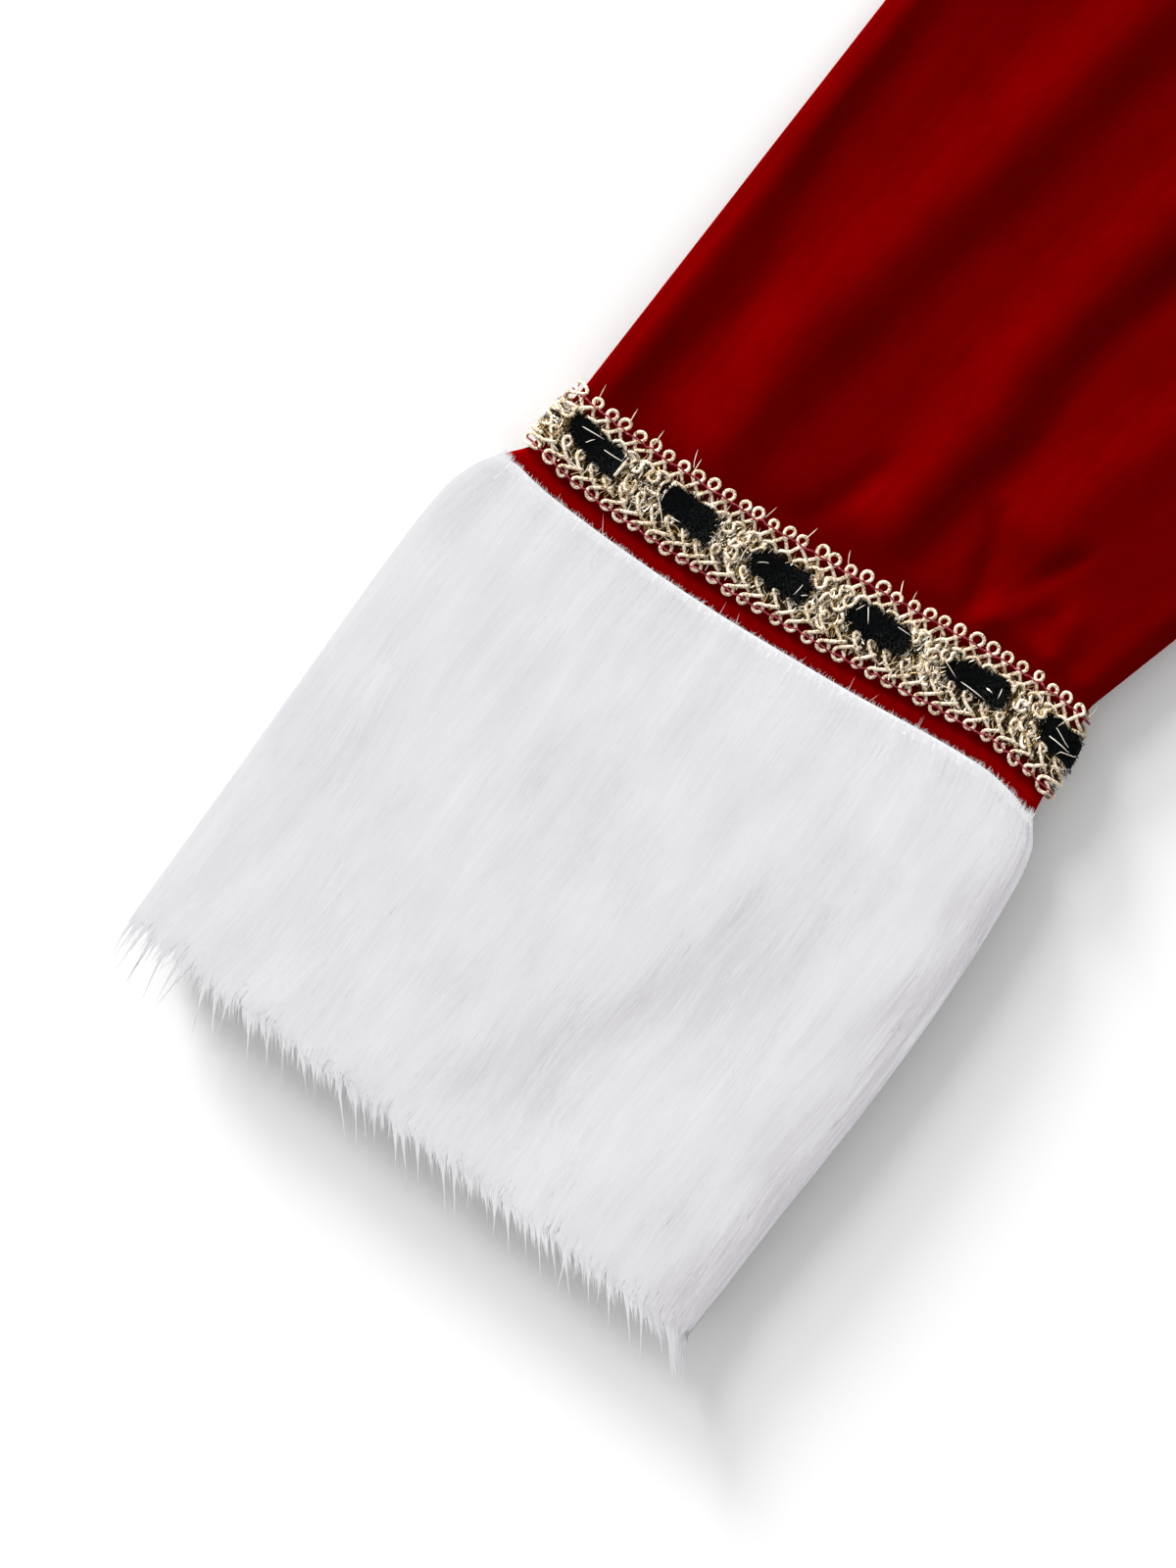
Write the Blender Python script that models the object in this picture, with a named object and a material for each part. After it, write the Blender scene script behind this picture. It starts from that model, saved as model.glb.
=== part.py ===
"""A women's Christmas costume dress, laid flat on its back, with fur cuffs and ribbon braid.

Lengths are metres. X runs to the viewer's right, Y to the neck and Z up, and the dress lies on z = 0
with its front on top. The sleeve on the -X side is the wearer's right. Every cloth is a closed wall
between an outer and an inner skin, and pieces keep SEAM_GAP to each other where they are sewn.
"""

import math
from collections import namedtuple

import bmesh
import bpy

WALL = 0.0012  # velvet, with its nap
SEAM_GAP = 0.0003  # between pieces that are sewn together

# The body of the dress: half of it, from the middle line out
SIDE_NECK = (0.100, 0.450)
SHOULDER = (0.205, 0.410)
UNDERARM = (0.235, 0.190)
FRONT_NECK_Y = 0.325
BACK_NECK_Y = 0.415
NECK_POWER = 2.4  # a scoop rounder than a parabola
ARMHOLE_DEPTH = 0.024  # how far the armhole curves in from a straight line
ARMHOLE_CELLS = 6  # its curve is cut in this many straight runs, the same on panel and sleeve
HEM_SIDE_Y = -0.425
HEM_BOW = 0.025  # the hem hangs lower in the middle
SideRow = namedtuple("SideRow", "height half_width")
SIDE_SEAM = [
    SideRow(HEM_SIDE_Y, 0.368),
    SideRow(-0.280, 0.306),
    SideRow(-0.130, 0.251),
    SideRow(0.040, 0.203),
    SideRow(UNDERARM[1], UNDERARM[0]),
]
FRONT_LOFT = 0.0010  # how far the front stands off the back between the folds
FRONT_SIDE_FADE = 0.14  # of the half width, over which the front's folds sink to the side seam
FRONT_TOP_FADE = 0.35  # of the armhole's height, over which they sink to the neck and shoulders
FRONT_TOP_KEPT = 0.15  # how far along that fade the edge itself lies
BACK_CELLS = (4, 10, 8)  # across each shoulder, across the neck, and from the hem to the underarm
FRONT_CELLS = (6, 18, 11)

# The sleeve on the -X side, from the cuff seam to the armhole
SEAM_OUTER = (-0.5348, 0.1181)
SEAM_INNER = (-0.4133, 0.0344)
BRAID_OUTER = (-0.5154, 0.1339)
BRAID_INNER = (-0.3999, 0.0598)
OUTER_EDGE_ANGLE = math.radians(37.8)  # from the Y axis, above the braid
OUTER_STRAIGHT = 0.114  # before the outer edge curves to the shoulder
BRAID_TOP = 0.027  # measured up the sleeve from the cuff seam
SLEEVE_TOP = 0.342
PinchRow = namedtuple("PinchRow", "height inward")
BRAID_PINCH = [  # the braid draws the sleeve's outer edge in
    PinchRow(0.0, 0.0),
    PinchRow(0.0054, 0.0030),
    PinchRow(BRAID_TOP, 0.0),
]
BowRow = namedtuple("BowRow", "across offset")
SEAM_BOW = [
    BowRow(0.00, 0.0),
    BowRow(0.10, 0.0025),
    BowRow(0.36, 0.0032),
    BowRow(0.63, 0.0009),
    BowRow(0.89, -0.0024),
    BowRow(1.00, 0.0),
]
SEAM_BOW_FADE = 0.060
ARMHOLE_FADE = 0.110
SLEEVE_HALF = WALL + SEAM_GAP / 2  # half the thickness of the flattened sleeve
SLEEVE_RISE = 0.0090  # the fur under the sleeve's end lifts it
SLEEVE_RISE_LENGTH = 0.200
SLEEVE_LOFT = 0.0018
BRAID_CALM = 0.014  # above the braid, over which the cloth rises into its folds
ARMHOLE_CALM = 0.030
SLEEVE_EDGE_FADE = 0.014
MOST_LIFT = 0.0037  # keeps the space inside the flat cloth under 4 mm
SLEEVE_EDGE_SHARE = 0.0075  # of the ring, for each quarter of an edge's roll
SLEEVE_CELLS = (19, 12)  # across the top and across the bottom
LOWER_SLEEVE_ROWS = [0.0, 0.0054, 0.016, 0.027, 0.034, 0.044, 0.058, 0.074, 0.092, 0.112]
UPPER_SLEEVE_CELLS = 8

# The fur cuff, measured from the cuff seam's outer end
CUFF_AXIS = (-0.581, -0.814)
CUFF_ACROSS = (0.814, -0.581)
CUFF_LENGTH_OUTER = 0.1356
CUFF_LENGTH_INNER = 0.1393
CUFF_EDGE_SHARE = 0.030
CUFF_EDGE_POWER = 0.45  # under 1, so the cuff's rolled edges are boxier than the sleeve's
CUFF_EDGE_FADE = 0.020
CUFF_CELLS = (22, 12)
CUFF_SLIT = 0.0005  # half the slit inside the flattened cuff
TIP_WALL = 0.0030
CuffRow = namedtuple("CuffRow", "along top bottom outer_bulge inner_bulge")
CUFF_ROWS = [
    CuffRow(0.0000, 0.0145, 0.0076, 0.0000, 0.0000),
    CuffRow(0.0050, 0.0155, 0.0036, -0.0034, 0.0040),
    CuffRow(0.0140, 0.0160, 0.0006, -0.0062, 0.0062),
    CuffRow(0.0400, 0.0162, 0.0000, -0.0072, 0.0080),
    CuffRow(0.0750, 0.0164, 0.0000, -0.0072, 0.0078),
    CuffRow(0.1050, 0.0162, 0.0000, -0.0072, 0.0060),
    CuffRow(0.1250, 0.0154, 0.0008, -0.0073, 0.0052),
    CuffRow(0.1370, 0.0140, 0.0030, -0.0073, 0.0048),
]
FRINGE_TOP = 0.0124
FRINGE_BOTTOM = 0.0030
FRINGE_SHORT = 0.0045
FRINGE_LONG = 0.0140
FRINGE_UNEVEN = 0.18  # share by which the locks' lengths wave along the hem
FRINGE_BEAT = 2.3  # radians of that wave from one lock to the next
FRINGE_TURN = 0.85  # how far the locks turn from the cuff's axis to the Y axis
FRINGE_TURN_SHARE = 0.25  # of the hem, from the outer edge, over which they turn

# The braid: a gold gimp band with slots, and a velvet ribbon that puffs out of them
STRIP = 0.0054  # velvet that shows between the fur and the braid
GOLD_WALL = 0.0012
RIBBON_WALL = 0.0008
RIBBON_MARGIN = 0.0006  # between the ribbon's edge and the slot's
SLOT_COUNT = 11  # round the whole sleeve
SLOT_LENGTH = 0.0140
FIRST_SLOT = 0.0120  # its middle, from the sleeve's outer edge
BRAID_ROUND = 0.2840  # the braid's length round the sleeve
FRONT_SLOTS = 6  # the last of these lies over the sleeve's inner edge
PUFF_SIDE = 0.0012
PUFF_HEIGHT = 0.0027
PUFF_SHOULDER = 0.9  # of the puff's height, PUFF_SIDE in from its ends
PUFF_EDGE = 0.8  # of the puff's height, at the ribbon's two edges
PUFF_OVER_FOLD = 0.95  # of the puff's height, where the ribbon turns under the sleeve
FOLD_GAP_SHARE = 0.12  # of an edge roll's quarter, for one seam gap between the gold halves
SLOT_TOP_SHARE = 0.70  # of the braid's height, from its lower edge
SLOT_BOTTOM_SHARE = 0.31
RAISE_SHARE = 0.055  # of the braid's height, for the slope beside the slots

FOLD_BEYOND = 0.12  # of a fold's length, that it runs on past each end
FOLD_TAPER = 0.35  # of its length, over which it fades in
Fold = namedtuple("Fold", "start_x start_y end_x end_y width height")
SLEEVE_FOLDS = [
    Fold(-0.484, 0.116, -0.355, 0.250, 0.0095, 0.0017),
    Fold(-0.450, 0.096, -0.326, 0.218, 0.0088, 0.0015),
    Fold(-0.412, 0.092, -0.311, 0.174, 0.0085, 0.0014),
    Fold(-0.507, 0.122, -0.416, 0.240, 0.0070, -0.0013),
    Fold(-0.440, 0.082, -0.346, 0.182, 0.0056, -0.0012),
    Fold(-0.388, 0.256, -0.261, 0.346, 0.0140, 0.0020),
    Fold(-0.331, 0.190, -0.231, 0.312, 0.0130, 0.0020),
    Fold(-0.295, 0.164, -0.210, 0.258, 0.0090, 0.0016),
]
FRONT_FOLDS = [
    Fold(-0.175, -0.060, -0.306, -0.440, 0.022, 0.0027),
    Fold(-0.120, -0.020, -0.214, -0.450, 0.021, 0.0022),
    Fold(-0.066, 0.010, -0.118, -0.460, 0.024, 0.0027),
    Fold(-0.016, -0.080, -0.024, -0.460, 0.020, 0.0019),
    Fold(0.050, 0.000, 0.084, -0.460, 0.024, 0.0026),
    Fold(0.104, -0.050, 0.182, -0.450, 0.021, 0.0022),
    Fold(0.168, -0.010, 0.288, -0.440, 0.023, 0.0027),
    Fold(-0.212, 0.176, -0.090, 0.232, 0.012, 0.0017),
    Fold(0.214, 0.170, 0.100, 0.238, 0.012, 0.0017),
    Fold(-0.190, 0.060, -0.080, 0.020, 0.011, 0.0013),
    Fold(0.188, 0.048, 0.070, 0.012, 0.011, 0.0013),
]
CUFF_FOLDS = [
    Fold(-0.457, 0.020, -0.538, -0.042, 0.0135, -0.0020),
    Fold(-0.476, -0.012, -0.530, -0.051, 0.0110, 0.0010),
]

Section = namedtuple("Section", "line width middle half lift edge_share edge_power")


def smooth_step(value):
    value = min(max(value, 0.0), 1.0)
    return value * value * (3 - 2 * value)


def mix(start, end, share):
    return start + (end - start) * share


def mix_points(start, end, share):
    return tuple(mix(a, b, share) for a, b in zip(start, end))


def straight_through(rows, place):
    """The value at place of straight runs between rows of (place, value)."""
    cell = max(i for i in range(len(rows) - 1) if rows[i][0] <= place)
    start, end = rows[cell], rows[cell + 1]
    return mix(start[1], end[1], (place - start[0]) / (end[0] - start[0]))


def curve_through(rows, place):
    """The value at place of a smooth curve through rows of (place, value)."""
    places = [row[0] for row in rows]
    values = [row[1] for row in rows]
    last = len(rows) - 1
    place = min(max(place, places[0]), places[last])
    cell = max(i for i in range(last) if places[i] <= place)

    def slope(i):
        before, after = max(i - 1, 0), min(i + 1, last)
        return (values[after] - values[before]) / (places[after] - places[before])

    span = places[cell + 1] - places[cell]
    t = (place - places[cell]) / span
    return (
        (2 * t**3 - 3 * t**2 + 1) * values[cell]
        + (t**3 - 2 * t**2 + t) * span * slope(cell)
        + (3 * t**2 - 2 * t**3) * values[cell + 1]
        + (t**3 - t**2) * span * slope(cell + 1)
    )


def fold_height(folds, x, y):
    """The height that the folds give the cloth at (x, y), each fading out at its two ends."""
    height = 0.0
    for fold in folds:
        run_x, run_y = fold.end_x - fold.start_x, fold.end_y - fold.start_y
        length = math.hypot(run_x, run_y)
        away_x, away_y = x - fold.start_x, y - fold.start_y
        along = (away_x * run_x + away_y * run_y) / length**2
        aside = (away_x * run_y - away_y * run_x) / length
        taper = smooth_step((min(along, 1 - along) + FOLD_BEYOND) / FOLD_TAPER)
        height += fold.height * math.exp(-((aside / fold.width) ** 2)) * taper
    return height


def armhole(rise):
    """A point of the +X armhole, from the underarm (0) to the shoulder (1)."""
    cell = min(int(rise * ARMHOLE_CELLS), ARMHOLE_CELLS - 1)
    ends = []
    for station in (cell / ARMHOLE_CELLS, (cell + 1) / ARMHOLE_CELLS):
        x, y = mix_points(UNDERARM, SHOULDER, station)
        ends.append((x - ARMHOLE_DEPTH * math.sin(math.pi * station**0.9), y))
    return mix_points(*ends, rise * ARMHOLE_CELLS - cell)


def panel_top(across, neck_y):
    """The height of the panel's neck and shoulder edge, across from -1 to 1."""
    x = abs(across) * SHOULDER[0]
    if x < SIDE_NECK[0]:
        return mix(neck_y, SIDE_NECK[1], (x / SIDE_NECK[0]) ** NECK_POWER)
    share = (x - SIDE_NECK[0]) / (SHOULDER[0] - SIDE_NECK[0])
    return mix(SIDE_NECK[1], SHOULDER[1], share)


def panel_point(across, up, neck_y):
    """A point of a body panel: up is 0 at the hem, 1 at the underarms and 2 at the neck."""
    if up <= 1:
        side_y = mix(HEM_SIDE_Y, UNDERARM[1], up)
        y = side_y - HEM_BOW * (1 - across**2) * (1 - up)
        return across * curve_through(SIDE_SEAM, side_y), y
    rise = up - 1
    return across * armhole(rise)[0], mix(UNDERARM[1], panel_top(across, neck_y), rise)


def panel_columns(shoulder_cells, neck_cells):
    """Places across a panel from -1 to 1, with one on each side of the neck."""
    neck = SIDE_NECK[0] / SHOULDER[0]
    shoulder = [mix(-1, -neck, i / shoulder_cells) for i in range(shoulder_cells)]
    middle = [mix(-neck, neck, i / neck_cells) for i in range(neck_cells + 1)]
    return shoulder + middle + [-place for place in reversed(shoulder)]


def outer_edge(distance):
    """A point of the sleeve's outer edge, at a distance up it from the cuff seam."""
    braid = math.dist(SEAM_OUTER, BRAID_OUTER)
    if distance <= braid:
        return mix_points(SEAM_OUTER, BRAID_OUTER, distance / braid)
    straight = min(distance - braid, OUTER_STRAIGHT)
    x = BRAID_OUTER[0] + straight * math.sin(OUTER_EDGE_ANGLE)
    y = BRAID_OUTER[1] + straight * math.cos(OUTER_EDGE_ANGLE)
    if distance - braid <= OUTER_STRAIGHT:
        return x, y
    radius, end_angle = shoulder_arc(x, y)
    angle = OUTER_EDGE_ANGLE + (distance - braid - OUTER_STRAIGHT) / radius
    angle = min(angle, end_angle)
    x += radius * (math.cos(OUTER_EDGE_ANGLE) - math.cos(angle))
    y += radius * (math.sin(angle) - math.sin(OUTER_EDGE_ANGLE))
    return x, y


def shoulder_arc(x, y):
    """The radius and end angle of the arc from (x, y) to the shoulder point."""
    run_x, run_y = -SHOULDER[0] - x, SHOULDER[1] - y
    chord_angle = math.atan2(run_x, run_y)
    turn = 2 * (chord_angle - OUTER_EDGE_ANGLE)
    radius = math.hypot(run_x, run_y) / (2 * math.sin(turn / 2))
    return radius, OUTER_EDGE_ANGLE + turn


def outer_edge_length():
    x = BRAID_OUTER[0] + OUTER_STRAIGHT * math.sin(OUTER_EDGE_ANGLE)
    y = BRAID_OUTER[1] + OUTER_STRAIGHT * math.cos(OUTER_EDGE_ANGLE)
    radius, end_angle = shoulder_arc(x, y)
    return math.dist(SEAM_OUTER, BRAID_OUTER) + OUTER_STRAIGHT + radius * (end_angle - OUTER_EDGE_ANGLE)


def inner_edge(distance):
    """A point of the sleeve's inner edge, at a distance up it from the cuff seam."""
    braid = math.dist(SEAM_INNER, BRAID_INNER)
    if distance <= braid:
        return mix_points(SEAM_INNER, BRAID_INNER, distance / braid)
    underarm = (-UNDERARM[0], UNDERARM[1])
    return mix_points(BRAID_INNER, underarm, (distance - braid) / math.dist(BRAID_INNER, underarm))


def sleeve_edges(up):
    """The outer and inner edge points of the sleeve's cross line at a height up from the cuff seam."""
    outer_braid = math.dist(SEAM_OUTER, BRAID_OUTER)
    inner_braid = math.dist(SEAM_INNER, BRAID_INNER)
    if up <= BRAID_TOP:
        share = up / BRAID_TOP
        outer, inner = outer_edge(outer_braid * share), inner_edge(inner_braid * share)
        return mix_points(outer, inner, straight_through(BRAID_PINCH, up) / math.dist(outer, inner)), inner
    share = (up - BRAID_TOP) / (SLEEVE_TOP - BRAID_TOP)
    underarm = (-UNDERARM[0], UNDERARM[1])
    inner_length = inner_braid + math.dist(BRAID_INNER, underarm)
    outer = outer_edge(mix(outer_braid, outer_edge_length(), share))
    return outer, inner_edge(mix(inner_braid, inner_length, share))


def sleeve_line(up, across, gap=0.0):
    """A point of the sleeve's middle sheet: bowed at the cuff seam, curved in at the armhole."""
    outer, inner = sleeve_edges(up)
    x, y = mix_points(outer, inner, across)
    width = math.dist(outer, inner)
    down_x, down_y = (inner[1] - outer[1]) / width, (outer[0] - inner[0]) / width
    bow = curve_through(SEAM_BOW, across) * (1 - smooth_step(up / SEAM_BOW_FADE)) + gap
    into = smooth_step((up - (SLEEVE_TOP - ARMHOLE_FADE)) / ARMHOLE_FADE)
    hole_x, hole_y = armhole(1 - across)
    chord_x, chord_y = mix_points(SHOULDER, UNDERARM, across)
    x += bow * down_x + into * (chord_x - hole_x - SEAM_GAP)
    y += bow * down_y + into * (hole_y - chord_y)
    return x, y


def sleeve_section(up):
    """The sleeve's flattened ring at a height up from the cuff seam."""
    outer, inner = sleeve_edges(up)
    width = math.dist(outer, inner)
    rise = SLEEVE_RISE * (1 - smooth_step(up / SLEEVE_RISE_LENGTH))
    calm = smooth_step((up - BRAID_TOP) / BRAID_CALM) * smooth_step((SLEEVE_TOP - up) / ARMHOLE_CALM)

    def line(across):
        return sleeve_line(up, across)

    def lift(across):
        from_edge = min(across, 1 - across) * width
        x, y = sleeve_line(up, across)
        height = min(max(SLEEVE_LOFT + fold_height(SLEEVE_FOLDS, x, y), 0.0), MOST_LIFT)
        return height * calm * smooth_step(from_edge / SLEEVE_EDGE_FADE)

    return Section(line, width, SLEEVE_HALF + rise, SLEEVE_HALF, lift, SLEEVE_EDGE_SHARE, 1.0)


def cuff_value(along, column):
    return curve_through([(row.along, getattr(row, column)) for row in CUFF_ROWS], along)


def cuff_line(share, across):
    """A point of the cuff's middle sheet, share 0 at the seam and 1 at the hem."""
    start_x, start_y = sleeve_line(0.0, across, SEAM_GAP)
    away_x, away_y = start_x - SEAM_OUTER[0], start_y - SEAM_OUTER[1]
    start = away_x * CUFF_AXIS[0] + away_y * CUFF_AXIS[1]
    end = mix(CUFF_LENGTH_OUTER, CUFF_LENGTH_INNER, across)
    along = share * CUFF_ROWS[-1].along
    aside = away_x * CUFF_ACROSS[0] + away_y * CUFF_ACROSS[1]
    aside += mix(cuff_value(along, "outer_bulge"), cuff_value(along, "inner_bulge"), across)
    down = mix(start, end, share)
    x = SEAM_OUTER[0] + CUFF_AXIS[0] * down + CUFF_ACROSS[0] * aside
    y = SEAM_OUTER[1] + CUFF_AXIS[1] * down + CUFF_ACROSS[1] * aside
    return x, y


def cuff_section(share):
    """The cuff's flattened ring of fur, share 0 at the seam and 1 at the hem."""
    along = share * CUFF_ROWS[-1].along
    top, bottom = cuff_value(along, "top"), cuff_value(along, "bottom")
    bottom = max(bottom, 0.0)
    half = (top - bottom) / 2
    width = math.dist(cuff_line(share, 0.0), cuff_line(share, 1.0))

    def line(across):
        return cuff_line(share, across)

    def lift(across):
        x, y = cuff_line(share, across)
        from_edge = min(across, 1 - across) * width
        return fold_height(CUFF_FOLDS, x, y) * smooth_step(from_edge / CUFF_EDGE_FADE)

    return Section(line, width, (top + bottom) / 2, half, lift, CUFF_EDGE_SHARE, CUFF_EDGE_POWER)


def fringe_section(reach):
    """The ring through the tips of locks that reach a distance beyond the hem."""
    hem = cuff_section(1.0)

    def line(across):
        x, y = hem.line(across)
        turn = FRINGE_TURN * smooth_step(across / FRINGE_TURN_SHARE)
        x += reach * mix(CUFF_AXIS[0], 0.0, turn)
        y += reach * mix(CUFF_AXIS[1], -1.0, turn)
        return x, y

    middle, half = (FRINGE_TOP + FRINGE_BOTTOM) / 2, (FRINGE_TOP - FRINGE_BOTTOM) / 2
    return Section(line, hem.width, middle, half, lambda across: 0.0, CUFF_EDGE_SHARE, CUFF_EDGE_POWER)


def place_on_ring(share, edge_share):
    """Turns a share of the way round a flattened ring into a place across and an angle.

    The share is 0 at the outer edge, then runs over the top to 0.5 at the inner edge, and back below.
    """
    below = share > 0.5
    from_outer = 1 - share if below else share
    side = -1 if below else 1
    if from_outer < edge_share:
        return 0.0, side * math.pi / 2 * from_outer / edge_share
    if from_outer > 0.5 - edge_share:
        return 1.0, side * math.pi / 2 * (0.5 - from_outer) / edge_share
    return (from_outer - edge_share) / (0.5 - 2 * edge_share), side * math.pi / 2


def ring_point(section, share, out=0.0, lifted=True):
    """A point of a section's skin, moved out by a distance."""
    across, angle = place_on_ring(share, section.edge_share)
    inset = section.half / section.width
    place = mix(inset, 1 - inset, across)
    x, y = section.line(place)
    reach = (section.half + out) * math.cos(angle)
    if across in (0.0, 1.0):
        near = section.line(across)
        step = math.dist((x, y), near)
        x += (near[0] - x) / step * reach
        y += (near[1] - y) / step * reach
    rise = math.copysign(abs(math.sin(angle)) ** section.edge_power, angle)
    z = section.middle + (section.half + out) * rise
    if angle > 0 and lifted:
        z += section.lift(place) * rise
    return x, y, z


def ring_shares(edge_share, top_cells, bottom_cells):
    """Places round a flattened ring: finely round its edges and evenly across top and bottom."""
    edge = [0.0, edge_share / 2]
    top = [mix(edge_share, 0.5 - edge_share, i / top_cells) for i in range(top_cells + 1)]
    inner = [0.5 - edge_share / 2, 0.5, 0.5 + edge_share / 2]
    bottom = [mix(0.5 + edge_share, 1 - edge_share, i / bottom_cells) for i in range(bottom_cells + 1)]
    return edge + top + inner + bottom + [1 - edge_share / 2]


def material(name, colour, roughness, metallic=0.0, sheen=0.0):
    made = bpy.data.materials.new(name)
    made.use_nodes = True
    shader = made.node_tree.nodes["Principled BSDF"]
    shader.inputs["Base Color"].default_value = (*colour, 1.0)
    shader.inputs["Roughness"].default_value = roughness
    shader.inputs["Metallic"].default_value = metallic
    shader.inputs["Sheen Weight"].default_value = sheen
    made.diffuse_color = (*colour, 1.0)
    return made


def grid_solid(name, outer, inner, finish, closed=False, mirrored=False, absent=()):
    """One closed wall between two grids of points, without the cells named in absent.

    closed joins the last column to the first, and mirrored builds it on the +X side.
    """
    rows, columns = len(outer), len(outer[0])
    cell_columns = columns if closed else columns - 1
    mesh = bmesh.new()
    made = {}

    def vertex(skin, row, column):
        key = (skin, row, column % columns)
        if key not in made:
            x, y, z = (outer if skin else inner)[row][column % columns]
            made[key] = mesh.verts.new((-x if mirrored else x, y, z))
        return made[key]

    def present(row, column):
        if closed:
            column %= columns
        return 0 <= row < rows - 1 and 0 <= column < cell_columns and (row, column) not in absent

    for row in range(rows - 1):
        for column in range(cell_columns):
            if not present(row, column):
                continue
            corners = [(row, column), (row, column + 1), (row + 1, column + 1), (row + 1, column)]
            beyond = [(row - 1, column), (row, column + 1), (row + 1, column), (row, column - 1)]
            mesh.faces.new([vertex(1, *corner) for corner in corners])
            mesh.faces.new([vertex(0, *corner) for corner in reversed(corners)])
            for side, cell in enumerate(beyond):
                if not present(*cell):
                    start, end = corners[side], corners[(side + 1) % 4]
                    wall = [vertex(1, *end), vertex(1, *start), vertex(0, *start), vertex(0, *end)]
                    mesh.faces.new(wall)
    bmesh.ops.recalc_face_normals(mesh, faces=mesh.faces)
    data = bpy.data.meshes.new(name)
    mesh.to_mesh(data)
    mesh.free()
    data.shade_smooth()
    data.set_sharp_from_angle(angle=math.radians(40))
    data.materials.append(finish)
    solid = bpy.data.objects.new(name, data)
    bpy.context.collection.objects.link(solid)
    return solid


def panel_rows(skirt_cells):
    """Places up a panel: evenly to the underarm at 1, then one for each run of the armhole."""
    skirt = [i / skirt_cells for i in range(skirt_cells + 1)]
    return skirt + [1 + i / ARMHOLE_CELLS for i in range(1, ARMHOLE_CELLS + 1)]


def make_back(finish):
    shoulder_cells, neck_cells, skirt_cells = BACK_CELLS
    columns, rows = panel_columns(shoulder_cells, neck_cells), panel_rows(skirt_cells)
    plan = [[panel_point(across, up, BACK_NECK_Y) for across in columns] for up in rows]
    lower = [[(x, y, 0.0) for x, y in row] for row in plan]
    upper = [[(x, y, WALL) for x, y in row] for row in plan]
    grid_solid("back", upper, lower, finish)


def make_front(finish):
    shoulder_cells, neck_cells, skirt_cells = FRONT_CELLS
    columns, rows = panel_columns(shoulder_cells, neck_cells), panel_rows(skirt_cells)
    seam_z = WALL + SEAM_GAP

    def front_point(across, up, wall):
        x, y = panel_point(across, up, FRONT_NECK_Y)
        edge = smooth_step((1 - abs(across)) / FRONT_SIDE_FADE)
        if up > 1:
            edge *= smooth_step((2 - up) / FRONT_TOP_FADE + FRONT_TOP_KEPT)
        lift = min(FRONT_LOFT + fold_height(FRONT_FOLDS, x, y), MOST_LIFT) * edge
        return x, y, seam_z + lift + wall

    outer = [[front_point(across, up, WALL) for across in columns] for up in rows]
    inner = [[front_point(across, up, 0.0) for across in columns] for up in rows]
    grid_solid("front", outer, inner, finish)


def make_sleeve(side, mirrored, finish):
    middle = LOWER_SLEEVE_ROWS[-1]
    cells = UPPER_SLEEVE_CELLS
    heights = LOWER_SLEEVE_ROWS + [mix(middle, SLEEVE_TOP, i / cells) for i in range(1, cells + 1)]
    shares = ring_shares(SLEEVE_EDGE_SHARE, *SLEEVE_CELLS)
    sections = [sleeve_section(up) for up in heights]
    outer = [[ring_point(section, share) for share in shares] for section in sections]
    inner = [[ring_point(section, share, -WALL) for share in shares] for section in sections]
    grid_solid(f"sleeve_{side}", outer, inner, finish, True, mirrored)


def make_cuff(side, mirrored, finish):
    """The fur cuff. Its thick wall is the pile, and every other column of the hem ends in a lock."""
    shares = ring_shares(CUFF_EDGE_SHARE, *CUFF_CELLS)
    end = CUFF_ROWS[-1].along
    sections = [cuff_section(row.along / end) for row in CUFF_ROWS]
    outer = [[ring_point(section, share) for share in shares] for section in sections]
    inner = [
        [ring_point(section, share, CUFF_SLIT - section.half, False) for share in shares]
        for section in sections
    ]
    tip_outer, tip_inner = [], []
    for column, share in enumerate(shares):
        reach = FRINGE_LONG if column % 2 else FRINGE_SHORT
        reach *= 1 + FRINGE_UNEVEN * math.sin(FRINGE_BEAT * column)
        tips = fringe_section(reach)
        tip_outer.append(ring_point(tips, share))
        tip_inner.append(ring_point(tips, share, -TIP_WALL))
    outer.append(tip_outer)
    inner.append(tip_inner)
    grid_solid(f"cuff_fur_{side}", outer, inner, finish, True, mirrored)


def slot_middles():
    """The middle of each slot, as a share of the way round the sleeve."""
    return [(FIRST_SLOT / BRAID_ROUND + i / SLOT_COUNT) % 1.0 for i in range(SLOT_COUNT)]


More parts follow.
